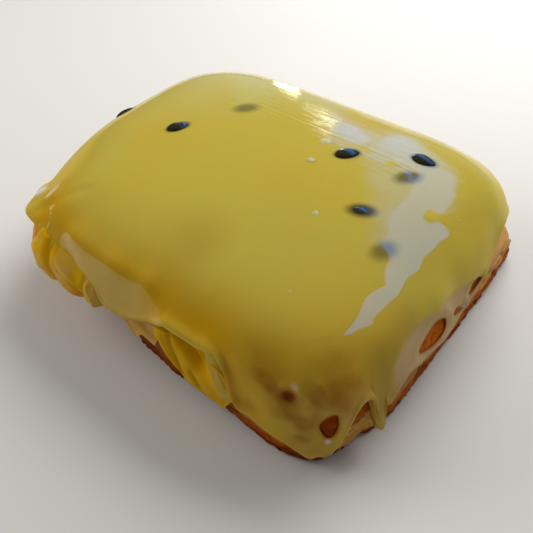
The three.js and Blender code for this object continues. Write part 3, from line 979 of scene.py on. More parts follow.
class SLICE_OT_icing(bpy.types.Operator):
    """Build the poured icing with its edge, curtains, fingers and gaps"""

    bl_idname = "slice.icing"
    bl_label = "Icing"

    def execute(self, context):
        grid = icing_grid(spaced_angles(*ICING_RAYS))
        piece = shell("icing_skin", grid, (0, 0, grid[:, 0, 2].mean()), (0, 0, top_height(0.0, 0.0)))
        tools = [cutter(outline) for dip, rise, outline in HOLES]
        for tool in tools:
            cut = piece.modifiers.new("gap", "BOOLEAN")
            cut.operation = "DIFFERENCE"
            cut.solver = "MANIFOLD"
            cut.object = tool
        applied(piece)
        for tool in tools:
            bpy.data.objects.remove(tool)
        points = coordinates(piece)
        if len(points) < grid.shape[0] * grid.shape[1] / 2:
            raise RuntimeError("the gaps were not cut cleanly")
        piece.data.shade_smooth()
        piece.data.set_sharp_from_angle(angle=SHARP_EDGE)
        self.paint_fields(piece, points)
        dress(piece, new_material("wet_icing", icing_finish), "icing", "icing")
        return {"FINISHED"}

    def paint_fields(self, piece, points):
        """Paints what the finish reads: where the icing is thin, where painted shade darkens it, where it is
        deep gold (partly painted shade), where crust shows brown, and where it is dragged and wet.
        """
        x, y, height = points.T
        degrees = angles_of(points)
        thick = hem_lines(degrees)[0]
        curtain = below(thick, 1.2, height)
        band = felt(LEFT_BAND, degrees) * below(26, 2, height)
        on_top = past(24, 3, height)

        streak = np.clip(swell(points * [1, 1, 0.45], 9, 61), -1, 1)
        corner = felt(THIN_CORNER, degrees) * below(22, 9, height) * (1 - 0.8 * felt(THICK_FINGER, degrees))
        thin = [
            felt(GLAZE_SPAN, degrees) * below(along(GLAZE_TOP, degrees), 2, height),
            corner * (0.35 + 0.3 * streak),
            0.1 * curtain * felt(CURTAIN_SPAN, degrees),
        ]
        paint(piece, "thin", np.clip(np.maximum.reduce(thin), 0, 1))

        # Painted shade: darker icing on the right front face, over the left band and in clouds on the top.
        under = [0.42 * felt(SHADE_CORNER, degrees) * below(26.5, 4, height), 0.12 * band]
        for at_x, at_y, wide, share in SHADE_CLOUDS:
            under.append(share * bell(np.hypot(x - at_x, y - at_y), wide) * on_top)
        paint(piece, "under", np.maximum.reduce(under))

        # Deep gold down the sides: partly the icing's deeper colour, partly painted shade, strongest on the
        # front, which faces away from the lamps, and weakest on the lit right back.
        front = below(-9, 19, y) * (1 - 0.55 * past(22, 20, x)) * past(-37, 10, x) * (1 - 0.4 * band)
        shaded = 0.15 - 0.15 * past(20, 20, x) * past(-25, 20, y)
        rim = 1 - 0.6 * felt(PALE_EDGE, degrees) * below(thick + 2.6, 1.8, height)
        paint(piece, "steep", below(29.6, 5.5, height) * (shaded + 0.85 * front) * rim)

        brown = np.zeros(len(points))
        for at, level, wide, share in BROWN_SPOTS:
            brown = np.maximum(brown, share * bell(rim_away((at, level), degrees, height), wide))
        brown = np.clip(brown * (1 + 0.3 * swell(points, 4, 62)), 0, 0.72)
        brown = np.maximum(brown, bell(rim_away(DIMPLE, degrees, height), DIMPLE[2]))
        for dip, rise, outline in HOLES:
            away = np.clip(rim_gap(outline, degrees, height), 0, None)
            brown = np.maximum(brown, 0.9 * bell(away, 0.3 + dip))
        paint(piece, "brown", np.clip(brown, 0, 1) * (height < SIDE_TOP))

        drag = past(8, 8, y) * past(-25, 12, x) * below(50, 8, x) * on_top * (1 + 0.8 * past(22, 10, y))
        for at_x, at_y, wide, share in CALM_SPOTS:
            drag *= 1 - share * np.exp(-(np.hypot(x - at_x, y - at_y) / wide) ** 4)
        paint(piece, "drag", drag)

        dull = [
            0.9 * felt(DULL_RIGHT, degrees) * below(27, 4, height),
            0.95 * felt(DULL_LEFT, degrees) * below(28.5, 2.5, height),
            0.5 * felt(DULL_FRONT, degrees) * below(29, 4, height),
            0.22 * band,
            0.75 * below(thick + 2, 1.6, height),
            0.9 * curtain,
        ]
        paint(piece, "gloss", 1 - np.maximum.reduce(dull))


# How deep a seed sits that stands out, how much deeper a sunk one, and the step that measures the slope.
SEED_SEAT = 0.12
SEED_SUNK = 1.1
SLOPE_STEP = 0.5


def top_upright(x, y):
    """The direction straight out of the icing's top."""
    step = SLOPE_STEP
    across = top_height(x - step, y) - top_height(x + step, y)
    return Vector((across, top_height(x, y - step) - top_height(x, y + step), 2 * step))


class SLICE_OT_seeds(bpy.types.Operator):
    """Set the seeds in the icing"""

    bl_idname = "slice.seeds"
    bl_label = "Seeds"

    def execute(self, context):
        size = sizes()
        points, turns = [], []
        for x, y, turned, shown in SEEDS:
            sunk = SEED_SEAT + SEED_SUNK * (1 - shown)
            points.append((x * MM, y * MM, (top_height(x, y) - sunk) * MM))
            lean = Vector((0, 0, 1)).rotation_difference(top_upright(x, y)).to_matrix()
            turns.append(tuple((lean @ Matrix.Rotation(math.radians(turned), 3, "Z")).to_euler()))
        piece = new_object("seeds", points)
        layer = piece.data.attributes.new("turn", "FLOAT_VECTOR", "POINT")
        layer.data.foreach_set("vector", np.array(turns, np.float32).ravel())
        material = new_material("seed_skin", seed_finish)
        half = (size.seed_long, size.seed_wide, size.seed_thick)
        grow(piece, seed_tree(), {"Half size": half, "Material": material})
        dress(piece, material, "seed")
        return {"FINISHED"}


def new_tree(name, inputs):
    """An empty geometry tree with a mesh in, a mesh out and named inputs."""
    tree = bpy.data.node_groups.new(name, "GeometryNodeTree")
    tree.interface.new_socket("Geometry", in_out="INPUT", socket_type="NodeSocketGeometry")
    for label, kind in inputs:
        tree.interface.new_socket(label, in_out="INPUT", socket_type=kind)
    tree.interface.new_socket("Geometry", in_out="OUTPUT", socket_type="NodeSocketGeometry")
    graph = Graph(tree)
    source = tree.nodes.new("NodeGroupInput")
    given = {socket.name: Wire(graph, socket) for socket in source.outputs if socket.name}
    return graph, given


def end_tree(graph, shape, material):
    """Closes a geometry tree: instances made real, smoothed and given their material."""
    real = graph.add("GeometryNodeRealizeInstances", {}, {"Geometry": shape})
    smooth = graph.add("GeometryNodeSetShadeSmooth", {}, {0: real})
    coated = graph.add("GeometryNodeSetMaterial", {}, {"Geometry": smooth, "Material": material})
    sink = graph.tree.nodes.new("NodeGroupOutput")
    graph.tree.links.new(coated.socket, sink.inputs[0])
    return graph.tree


def grow(piece, tree, values):
    """Runs a geometry tree on a piece with these inputs and keeps the result as a plain mesh."""
    modifier = piece.modifiers.new("grow", "NODES")
    modifier.node_group = tree
    for item in tree.interface.items_tree:
        if item.in_out == "INPUT" and item.name in values:
            modifier[item.identifier] = values[item.name]
    applied(piece)


def seed_tree():
    """One flattened egg-shaped seed on each point."""
    sockets = [("Half size", "NodeSocketVector"), ("Material", "NodeSocketMaterial")]
    graph, given = new_tree("seed_setting", sockets)
    ball = graph.add("GeometryNodeMeshUVSphere", {}, {"Segments": 28, "Rings": 18, "Radius": 1.0})
    spot = graph.add("GeometryNodeInputPosition")
    end = graph.part(spot, "X")
    narrow = 1 - 0.22 * end - 0.12 * end * end
    slim = graph.add("ShaderNodeCombineXYZ", {}, {0: 1.0, 1: narrow, 2: narrow})
    sized = graph.scaled(graph.scaled(spot, slim), given["Half size"])
    seed = graph.add("GeometryNodeSetPosition", {}, {"Geometry": ball, "Position": sized})
    turn = graph.add("GeometryNodeInputNamedAttribute", {"data_type": "FLOAT_VECTOR"}, {"Name": "turn"})
    facing = graph.add("FunctionNodeEulerToRotation", {}, {0: turn})
    inputs = {"Points": given["Geometry"], "Instance": seed, "Rotation": facing}
    return end_tree(graph, graph.add("GeometryNodeInstanceOnPoints", {}, inputs), given["Material"])


# Bubbles and specks set in the top: x, y, radius.
BUBBLES = [
    (11.4, 13, 1.5), (12.9, 5.6, 0.9), (23.6, -7.5, 0.8), (12.1, 17.8, 0.7), (45.4, 10.7, 0.4),
    (-16.2, -4.8, 0.7), (-11.7, -9.1, 0.6), (31.4, -25.7, 0.5),
]
BUBBLE_FLATNESS = 0.12
# A sheet of glaze that hangs over the foot on the front: its lower edge by angle and height.
FILM_FOOT = [
    (-93, 14), (-90.4, 11.4), (-88.9, 9.6), (-87.2, 9), (-86, 10.2), (-84.7, 11.6), (-82.7, 11.5),
    (-80.5, 10.8), (-78.6, 10.8), (-77.6, 14), (-76.8, 18),
]
# Its corners' rounding in degrees, rays, rings, how far it starts over the icing's edge, and its thickness,
# which thins out at the foot.
FILM_BLUR = 0.9
FILM_GRID = (90, 40)
FILM_OVER = 0.6
FILM_THICK = 0.3
FILM_EDGE = 0.02
# Its folds, as creases by angle and height.
FILM_FOLDS = [
    (-0.35, 0.8, [(-88, 14), (-83, 12.6), (-77, 11.6)]),
    (0.35, 0.6, [(-84, 14.6), (-79, 13), (-75, 11.5)]),
    (-0.3, 0.6, [(-79.5, 17), (-76, 13.5), (-73, 9)]),
]


class SLICE_OT_bubbles(bpy.types.Operator):
    """Set small bubbles in the top of the icing"""

    bl_idname = "slice.bubbles"
    bl_label = "Bubbles"

    def execute(self, context):
        places = [(x * MM, y * MM, top_height(x, y) * MM) for x, y, radius in BUBBLES]
        piece = new_object("bubbles", places)
        paint(piece, "size", [radius * MM for x, y, radius in BUBBLES])
        material = new_material("bubble_skin", bubble_finish)
        grow(piece, bubble_tree(), {"Flatness": BUBBLE_FLATNESS, "Material": material})
        dress(piece, material, "icing")
        return {"FINISHED"}


def bubble_tree():
    """A low dome that eases out at its rim on each point, as wide as the point's size."""
    sockets = [("Flatness", "NodeSocketFloat"), ("Material", "NodeSocketMaterial")]
    graph, given = new_tree("bubble_setting", sockets)
    ball = graph.add("GeometryNodeMeshUVSphere", {}, {"Segments": 24, "Rings": 24, "Radius": 1.0})
    spot = graph.add("GeometryNodeInputPosition")
    height = graph.part(spot, "Z")
    easing = graph.add("ShaderNodeCombineXYZ", {}, {0: 1.0, 1: 1.0, 2: height * height})
    eased = graph.scaled(spot, easing)
    dome = graph.add("GeometryNodeSetPosition", {}, {"Geometry": ball, "Position": eased})
    size = graph.add("GeometryNodeInputNamedAttribute", {"data_type": "FLOAT"}, {"Name": "size"})
    shape = graph.add("ShaderNodeCombineXYZ", {}, {0: size, 1: size, 2: size * given["Flatness"]})
    inputs = {"Points": given["Geometry"], "Instance": dome, "Scale": shape}
    return end_tree(graph, graph.add("GeometryNodeInstanceOnPoints", {}, inputs), given["Material"])


class SLICE_OT_glaze(bpy.types.Operator):
    """Hang the thin sheet of glaze on the front"""

    bl_idname = "slice.glaze"
    bl_label = "Glaze sheet"

    def execute(self, context):
        rays, rings = FILM_GRID
        degrees = np.linspace(FILM_FOOT[0][0], FILM_FOOT[-1][0], rays)
        foot = along(FILM_FOOT, degrees, FILM_BLUR)
        crest = hem_lines(degrees)[0] + FILM_OVER
        fall = np.linspace(0, 1, rings)
        height = crest[:, None] + (foot - crest)[:, None] * fall
        turn = np.broadcast_to(degrees[:, None], height.shape)
        angle = np.radians(turn)
        inset = 1.1 + 0.7 * fall - 0.9 * fall ** 2
        radius = side_radius(angle, height, 0.0) - inset - creased(turn, height, FILM_FOLDS)
        outer = at_radius(angle, radius, height)
        thick = FILM_THICK * np.sqrt(np.clip(1 - fall ** 8, 0, 1)) + FILM_EDGE
        inner = at_radius(angle, radius - thick, height)
        points = np.concatenate([outer.reshape(-1, 3), inner.reshape(-1, 3)]) * MM
        front = np.arange(rays * rings).reshape(rays, rings)
        rear = front + rays * rings
        faces = np.concatenate([
            quads(front[:-1, :-1], front[:-1, 1:], front[1:, 1:], front[1:, :-1]),
            quads(rear[:-1, :-1], rear[1:, :-1], rear[1:, 1:], rear[:-1, 1:]),
            quads(front[0, :-1], rear[0, :-1], rear[0, 1:], front[0, 1:]),
            quads(front[-1, :-1], front[-1, 1:], rear[-1, 1:], rear[-1, :-1]),
            quads(front[:-1, 0], front[1:, 0], rear[1:, 0], rear[:-1, 0]),
            quads(front[:-1, -1], rear[:-1, -1], rear[1:, -1], front[1:, -1]),
        ])
        piece = smooth_object("glaze_sheet", points.tolist(), faces.tolist())
        dress(piece, new_material("set_glaze", glaze_finish), "film")
        return {"FINISHED"}


# Crumbs: how many to the square metre, their smallest and largest half width, where they lie, and the seed.
CRUMBS = {
    "Density": 70000.0, "Smallest": 0.3 * MM, "Largest": 0.85 * MM, "Lowest": 0.7 * MM, "Highest": 6.6 * MM,
    "Seed": 7,
}
CRUMB_TILT = 0.4


class SLICE_OT_crumbs(bpy.types.Operator):
    """Scatter flat crumbs over the rim of the lower sheet"""

    bl_idname = "slice.crumbs"
    bl_label = "Crumbs"

    def execute(self, context):
        source = bpy.data.objects.get("lower_sheet")
        if source is None:
            raise RuntimeError("the lower sheet is built before its crumbs")
        piece = bpy.data.objects.new("crumbs", source.data.copy())
        bpy.context.scene.collection.objects.link(piece)
        material = new_material("crumb_crust", base_finish)
        grow(piece, crumb_tree(), {**CRUMBS, "Material": material})
        dress(piece, material, "base_crust")
        return {"FINISHED"}


def crumb_tree():
    """Flat uneven crumbs on the faces between two heights."""
    names = ["Density", "Smallest", "Largest", "Lowest", "Highest"]
    sockets = [(name, "NodeSocketFloat") for name in names]
    sockets += [("Seed", "NodeSocketInt"), ("Material", "NodeSocketMaterial")]
    graph, given = new_tree("crumb_scatter", sockets)
    spot = graph.add("GeometryNodeInputPosition")
    height = graph.part(spot, "Z")
    above = graph.add("FunctionNodeCompare", {"operation": "GREATER_THAN"}, {0: height, 1: given["Lowest"]})
    below = graph.add("FunctionNodeCompare", {"operation": "LESS_THAN"}, {0: height, 1: given["Highest"]})
    chosen = graph.add("FunctionNodeBooleanMath", {"operation": "AND"}, {0: above, 1: below})
    inputs = {"Mesh": given["Geometry"], "Selection": chosen}
    inputs.update({name: given[name] for name in ("Density", "Seed")})
    points = graph.add("GeometryNodeDistributePointsOnFaces", {}, inputs)
    facing = points.other(2)
    ball = graph.add("GeometryNodeMeshIcoSphere", {}, {"Radius": 1.0, "Subdivisions": 3})
    bulk = graph.add("ShaderNodeTexNoise", {}, {"Vector": spot, "Scale": 1.4, "Detail": 2.0})
    flat = graph.add("ShaderNodeCombineXYZ", {}, {0: 1.4 * bulk + 0.3, 1: 1.1 * bulk + 0.2, 2: 0.6 * bulk})
    shaped = graph.scaled(spot, flat)
    crumb = graph.add("GeometryNodeSetPosition", {}, {"Geometry": ball, "Position": shaped})
    inputs = {2: given["Smallest"], 3: given["Largest"], "Seed": given["Seed"]}
    size = graph.add("FunctionNodeRandomValue", {"data_type": "FLOAT"}, inputs, output=1)
    inputs = {"Points": points, "Instance": crumb, "Rotation": facing, "Scale": size}
    scattered = graph.add("GeometryNodeInstanceOnPoints", {}, inputs)
    inputs = {0: (-CRUMB_TILT, -CRUMB_TILT, 0.0), 1: (CRUMB_TILT, CRUMB_TILT, TURN), "Seed": given["Seed"]}
    twist = graph.add("FunctionNodeRandomValue", {"data_type": "FLOAT_VECTOR"}, inputs)
    turned = graph.add("GeometryNodeRotateInstances", {}, {"Instances": scattered, "Rotation": twist})
    return end_tree(graph, turned, given["Material"])


def skirt_foot(degrees):
    """Height of the upper sheet's lower edge."""
    return SKIRT_LOW + (SKIRT_HIGH - SKIRT_LOW) * felt(SKIRT_RAISED, degrees)


def custard_edge(angle):
    """Distance from the axis to the custard inside the skirt."""
    return side_radius(angle, CUSTARD_TOP, ICING + GAP) - SKIRT_THICK - GAP


# The upper sheet: rays as for the icing, the coarse and fine rings' shares of the way down, how far its
# blisters stand out and its face lies in, how soft its rise in the gaps is, and where painted shade darkens
# it in the front gaps.
CRUST_RAYS = (680, 1.6)
CRUST_RINGS = [*np.linspace(0.05, 0.62, 12), *np.linspace(0.62, 1, 70)[1:]]
BLISTER_OUT = 0.12
CRUST_IN = 0.1
GAP_EASE = 1.3
SHADED_GAP = (-41, 5, 4)


class SLICE_OT_crust(bpy.types.Operator):
    """Build the upper pastry sheet, seen through the gaps in the icing"""

    bl_idname = "slice.crust"
    bl_label = "Upper sheet"

    def execute(self, context):
        angle = spaced_angles(*CRUST_RAYS)
        degrees = np.degrees(angle)
        foot = skirt_foot(degrees)
        face = crown_down(angle, foot, CRUST_RINGS, ICING + GAP)
        flat = face.reshape(-1, 3)
        blisters = swell(flat, 2.6, 31) * BLISTER_OUT + swell(flat, 6, 32) * BLISTER_OUT
        move = blisters.reshape(face.shape[:2]) - CRUST_IN
        turn = np.broadcast_to(degrees[:, None], move.shape)
        stand = np.zeros(move.shape)
        for dip, rise, outline in HOLES:
            away = rim_gap(outline, turn.ravel(), flat[:, 2]).reshape(move.shape)
            stand += np.where(face[..., 2] < SIDE_TOP, rise * below(GAP_EASE, GAP_EASE, away), 0)
        face = face + surface_normals(face) * move[..., None]
        face += at_radius(angle[:, None], stand, 0.0)
        inner = custard_edge(angle) + GAP
        ceiling = at_radius(angle, inner, CUSTARD_TOP + GAP)
        lining = at_radius(angle, inner, foot + 0.2)
        grid = np.concatenate([ceiling[:, None], lining[:, None], face[:, ::-1]], axis=1)
        high = (0, 0, HEIGHT - ICING - GAP - CRUST_IN)
        piece = shell("upper_sheet", grid, (0, 0, CUSTARD_TOP + GAP), high)
        # Painted shade: darker crust in the front gaps.
        paint(piece, "dark", 0.75 * felt(SHADED_GAP, angles_of(coordinates(piece))))
        dress(piece, new_material("golden_crust", crust_finish), "top_crust", "pastry_top")
        return {"FINISHED"}


# Custard: set back under the skirt, and squeezed out over the foot in a tongue on the front.
CUSTARD_RAYS = (680, 2.0)
CUSTARD_RINGS = 60
CUSTARD_SETBACK = 3.2
CUSTARD_WALL = 0.9
CUSTARD_UNEVEN = 0.14
TONGUE = (-64, 5.5, 2.5)
TONGUE_SEAT = (-64, 7.5, 3)
TONGUE_DROP = 3.4
# Its left edge leans out as it rises: angle at the foot, height of the foot, degrees to the millimetre and
# rise where that ends. Its right edge stands upright.
TONGUE_LEFT = (-73, 7.5, 0.65, 12)
TONGUE_RIGHT = -53.5
TONGUE_CREASES = [
    (3.0, 1.9, [(-69.5, 18.6), (-66, 17), (-63, 14.6)]),
    (-0.5, 1.2, [(-76, 16), (-74, 12), (-72, 8)]),
    (0.6, 0.6, [(-72.6, 17), (-71.2, 12), (-69.6, 7.5)]),
    (-0.4, 1.6, [(-68.5, 10), (-66, 6.5)]),
    (0.4, 0.6, [(-66, 11), (-64.6, 7)]),
    (-0.4, 1.5, [(-62.5, 10), (-61.5, 6)]),
]
# At the left corner it hangs from under the icing in a pleated curtain: its lower edge and how far it stands
# out from the icing's outline, by angle, then its creases as for the icing, by angle and height.
CURTAIN = (-119, 18.5, 3)
CURTAIN_JOINED = (-112, 13, 5)
CURTAIN_FOOT = [
    (-180, 18), (-146, 18), (-141, 14), (-136, 11.4), (-130, 10.2), (-124, 9.8), (-119, 10), (-115, 10.6),
    (-110, 10.4), (-107.4, 10.8), (-105.6, 11.6), (-104, 11), (-102, 10.2), (-100.6, 12), (-98.6, 15),
    (-97, 18), (180, 18),
]
CURTAIN_OUT = [
    (-180, -2), (-141, -2), (-137, -1.2), (-134, -0.2), (-131, 0.9), (-128, 1.8), (-124, 2.2),
    (-120, 1.8), (-115, 1.5), (-110, 1.5), (-106.7, 0.6), (-103.5, 0.7), (-101, 0.6), (-99.5, -0.4),
    (-97, -1), (180, -1),
]
CURTAIN_CREASES = [
    (0.7, 0.8, [(-120.5, 21.5), (-119, 19), (-117.6, 15.6), (-117.3, 12)]),
    (0.5, 0.7, [(-104.4, 20), (-104.8, 17.2), (-106.6, 12)]),
    (-0.35, 0.5, [(-116, 19.6), (-110, 18.2), (-105.5, 16.4)]),
    (0.3, 0.45, [(-114, 17.6), (-109, 16.4), (-106.5, 14.6)]),
    (0.35, 0.6, [(-115.6, 13.6), (-112.5, 14.6), (-109.8, 13.4)]),
    (-0.3, 0.5, [(-103.4, 18), (-102, 15), (-101.6, 12)]),
    (0.6, 0.9, [(-136, 18.6), (-132, 17.8), (-128, 18.6), (-124, 20)]),
    (0.35, 0.6, [(-126.5, 17), (-124.8, 14), (-123, 11.4)]),
]
# Spots where the custard is deeper in colour: angle, height, radius.
ORANGE_SPOTS = [
    (-108.5, 13, 1.8), (-113, 14.4, 0.8), (-134, 19, 1.8), (-130, 18.4, 1.2), (-120.5, 15, 1.4),
]
PALE_PLEATS = [(-113, 2.5, 2.5), (-101.5, 2, 2.5)]
# The rim's mean radius, by which angles become distances along it.
RIM_RADIUS = 46.0


def rim_spots(degrees, height):
    """Places on the side as millimetres along the rim and up."""
    return np.stack([np.radians(degrees).ravel() * RIM_RADIUS, height.ravel()], -1)


def creased(degrees, height, creases):
    """How far creases press the side in at each place."""
    spots = rim_spots(degrees, height)
    press = np.zeros(len(spots))
    for depth, width, line in creases:
        press += depth * bell(polyline_distance(spots, rim_spots(*np.array(line, float).T)), width)
    return press.reshape(height.shape)


class SLICE_OT_custard(bpy.types.Operator):
    """Build the custard, with its tongue on the front and its pleated curtain at the left corner"""

    bl_idname = "slice.custard"
    bl_label = "Custard"

    def execute(self, context):
        angle = spaced_angles(*CUSTARD_RAYS)
        degrees = np.degrees(angle)
        floor = BASE_TOP + GAP
        brow = skirt_foot(degrees) - GAP
        hung = felt(CURTAIN, degrees)
        tongue_low = felt(TONGUE, degrees)
        low = floor - TONGUE_DROP * tongue_low
        hem = hem_lines(degrees)[0]
        crest = brow + (hem - 0.3 + 1.8 * felt(CURTAIN_JOINED, degrees) - brow) * hung
        back = reach(ICING_PLAN, angle, ICING + GAP + CUSTARD_SETBACK)
        tucked = back - 1.1 - 7 * hung
        inside = tucked + (base_reach(angle) + GAP - tucked) * felt(TONGUE_SEAT, degrees)
        rise = np.linspace(0, 1, CUSTARD_RINGS)
        height = low[:, None] + (crest - low)[:, None] * rise
        radius = self.tongue(angle, height, rise, back)
        radius = radius + (self.curtain(angle, height, crest, inside, hem) - radius) * hung[:, None]
        held = below(BASE_TOP + 3.5, 2.5, height)
        radius = np.maximum(radius, tucked[:, None] + (inside - tucked)[:, None] * held + CUSTARD_WALL)
        spots = at_radius(angle[:, None], radius, height).reshape(-1, 3)
        fold = swell(spots * [1, 1, 0.4], 6, 41).reshape(height.shape)
        radius = radius + CUSTARD_UNEVEN * fold * np.maximum(tongue_low, hung)[:, None]
        skirt = side_radius(angle, skirt_foot(degrees), ICING + GAP) + 0.4
        skirt = np.minimum(skirt, radius[:, -1] - 0.1)
        edge = custard_edge(angle)
        under = [(inside, floor), (inside + GAP, low)]
        over = [(skirt, crest + 0.02), (skirt, brow + 0.04), (edge, brow + 0.06), (edge, CUSTARD_TOP)]
        rings = [at_radius(angle, *ring)[:, None] for ring in under]
        rings.append(at_radius(angle[:, None], radius, height))
        rings += [at_radius(angle, *ring)[:, None] for ring in over]
        grid = np.concatenate(rings, axis=1)
        piece = shell("custard_filling", grid, (0, 0, floor), (0, 0, CUSTARD_TOP))
        self.paint_fields(piece)
        dress(piece, new_material("set_custard", custard_finish), "custard", "custard")
        return {"FINISHED"}

    def tongue(self, angle, height, rise, back):
        """Radius of the front, set back under the icing and sloping out over the foot where the tongue is."""
        turn = np.broadcast_to(np.degrees(angle)[:, None], height.shape)
        foot_at, foot_height, lean, lean_end = TONGUE_LEFT
        left = foot_at - lean * np.clip(height - foot_height, 0, lean_end)
        share = past(left, 1.6, turn) * below(TONGUE_RIGHT, 2.5, turn)
        tip = np.clip(rise / 0.15, 0, 1)
        edge = (base_reach(angle) + 0.3)[:, None]
        face = (reach(ICING_PLAN, angle) - 1.3)[:, None] + 0.5 * np.sin(rise * math.pi)
        forward = edge + (face - edge) * np.sqrt(tip * (2 - tip))
        forward -= creased(turn, height, TONGUE_CREASES)
        return back[:, None] + share * (forward - back[:, None])

    def curtain(self, angle, height, crest, inside, hem):
        """Radius of the pleated curtain, which swells out under the icing and rounds in at its foot."""
        degrees = np.degrees(angle)
        turn = np.broadcast_to(degrees[:, None], height.shape)
        joined = felt(CURTAIN_JOINED, degrees)
        foot = along(CURTAIN_FOOT, degrees)[:, None]
        start = side_radius(angle, hem + 1.5, 0.0) + moved(FLARES, degrees) - 0.2 - 2.2 * (1 - joined)
        proud = np.maximum(reach(ICING_PLAN, angle) + along(CURTAIN_OUT, degrees), start + 0.7 * joined)
        fall = np.clip((crest[:, None] - height) / (crest[:, None] - foot), 0, 1)
        swelled = np.sin(np.clip(fall / 0.45, 0, 1) * math.pi / 2)
        outer = start[:, None] + (proud - start)[:, None] * swelled
        outer -= creased(turn, height, CURTAIN_CREASES)
        lifted = np.clip((height - foot) / 2.4, 0, 1)
        root = inside[:, None] + CUSTARD_WALL
        return root + (outer - root) * np.sqrt(lifted * (2 - lifted))

    def paint_fields(self, piece):
        """Paints where the custard is paler and where it is deeper in colour."""
        points = coordinates(piece)
        turn, height = angles_of(points), points[:, 2]
        cloud = np.clip(swell(points, 5, 44), -1, 1)
        pale = np.maximum.reduce([felt(pleat, turn) for pleat in PALE_PLEATS])
        paint(piece, "pale", pale * (0.6 + 0.3 * cloud))
        orange = np.zeros(len(points))
        for at, level, wide in ORANGE_SPOTS:
            away = np.linalg.norm(rim_spots(turn - at, height - level), axis=1)
            orange = np.maximum(orange, bell(away, wide))
        paint(piece, "orange", orange)


# The lower sheet: rim profile as height and setback, and dents where icing or custard runs down over it.
BASE_RIM = [(0, 1.2), (0.9, 0.25), (2.4, 0), (3.7, 0.75), (4.6, 0.2), (6.2, 0.5), (7, 1.6)]
BASE_DENTS = [
    (-27, 2, 4, 0.6), (-33, 2, 5, 1.2), (-42.5, 3, 8, -1.2), (-65, 6, 6, 0.8), (-96, 6, 22, 2),
    (-124, 14, 14, 5), (39, 4, 6, -0.7),
]
BASE_UNDERCUT = (-122, 15, 18, 5)
BASE_RAYS = (640, 1.0)
BASE_RINGS = 50
# Its flaky layers: how many, how far apart their unevenness is drawn, and the groove between two.
BASE_LAYERS = 11
LAYER_APART = 17.0
GROOVE_DEPTH = 0.3
GROOVE_WIDE = 0.18
# Rings across its faces, as shares of the rim, and where it is dark and where it is tan, the tan made lighter
# as painted light against the shade under the front drip.
BASE_CAPS = [0.4, 0.8, 0.95]
DARK_FRONT = (-82, 16, 16)
TAN_LIT_CORNER = (-31.5, 4, 2.5)


def base_reach(angle):
    """Distance from the axis to the lower sheet's outline."""
    degrees = np.degrees(angle)
    return reach(BASE_PLAN, angle) - moved(BASE_DENTS, degrees)


class SLICE_OT_base(bpy.types.Operator):
    """Build the lower pastry sheet with its flaky layered rim"""

    bl_idname = "slice.base"
    bl_label = "Lower sheet"

    def execute(self, context):
        flake = sizes().flake / MM
        angle = spaced_angles(*BASE_RAYS)
        degrees = np.degrees(angle)
        height = np.linspace(0, BASE_TOP, BASE_RINGS)
        inset = np.interp(height, *np.array(BASE_RIM).T)
        layer = height / BASE_TOP * BASE_LAYERS
        number, share = np.floor(layer), layer % 1
        spot = at_radius(angle[:, None], reach(BASE_PLAN, angle)[:, None], number[None, :] * LAYER_APART)
        flat = spot.reshape(-1, 3)
        ragged = (swell(flat, 7, 51) + 0.6 * swell(flat, 2.4, 52)).reshape(spot.shape[:2])
        groove = bell(np.minimum(share, 1 - share), GROOVE_WIDE)
        undercut = moved([BASE_UNDERCUT], degrees)
        radius = base_reach(angle)[:, None] - inset - undercut[:, None] * (1 - height / BASE_TOP) ** 2
        radius = radius + flake * np.clip(0.55 * ragged - 0.35, -1.4, 0.35) - GROOVE_DEPTH * groove
        rim = at_radius(angle[:, None], radius, height)
        under = np.stack([rim[:, 0] * [share, share, 1] for share in BASE_CAPS], axis=1)
        over = np.stack([rim[:, -1] * [share, share, 1] for share in BASE_CAPS[::-1]], axis=1)
        grid = np.concatenate([under, rim, over], axis=1)
        piece = shell("lower_sheet", grid, (0, 0, 0), (0, 0, BASE_TOP))
        points = coordinates(piece)
        turn = angles_of(points)
        paint(piece, "dark", 0.7 * felt(DARK_FRONT, turn))
        # Pale tan on the front corner, partly painted light in the shade under the drip.
        paint(piece, "tan", 0.85 * felt(TAN_LIT_CORNER, turn) * past(1.2, 1.2, points[:, 2]))
        dress(piece, new_material("layered_crust", base_finish), "base_crust", "pastry_base")
        return {"FINISHED"}


# Soft boxes that only reflections see, as corners at an azimuth from +X and an elevation in degrees.
WINDOW = [
    (116, 25), (113.7, 17), (109.2, 11.2), (105.4, 20.8), (97.7, 27.5), (87, 32.6), (80.4, 36),
    (73.8, 38.3), (71.7, 40.5), (67.8, 40.2), (60.9, 37.9), (53.2, 33.4), (51.6, 34), (52.6, 37.3),
    (49.7, 36.8), (45.2, 34.7), (43, 35), (40.2, 36.2), (40.4, 40.4), (36.5, 41.3), (32.3, 39),
    (28.4, 46.9), (22.3, 51), (19.8, 57.2), (32.9, 56.2), (46.9, 54.3), (58.1, 53), (54.9, 48.2),
    (64.3, 50), (79.6, 50.8), (86.9, 50.2), (93.1, 48.8), (97.3, 47.2), (98.9, 45.7), (99.4, 43.9),
    (103.4, 41.5), (109.1, 36.8), (115.3, 34.2), (116.5, 29.8),
]
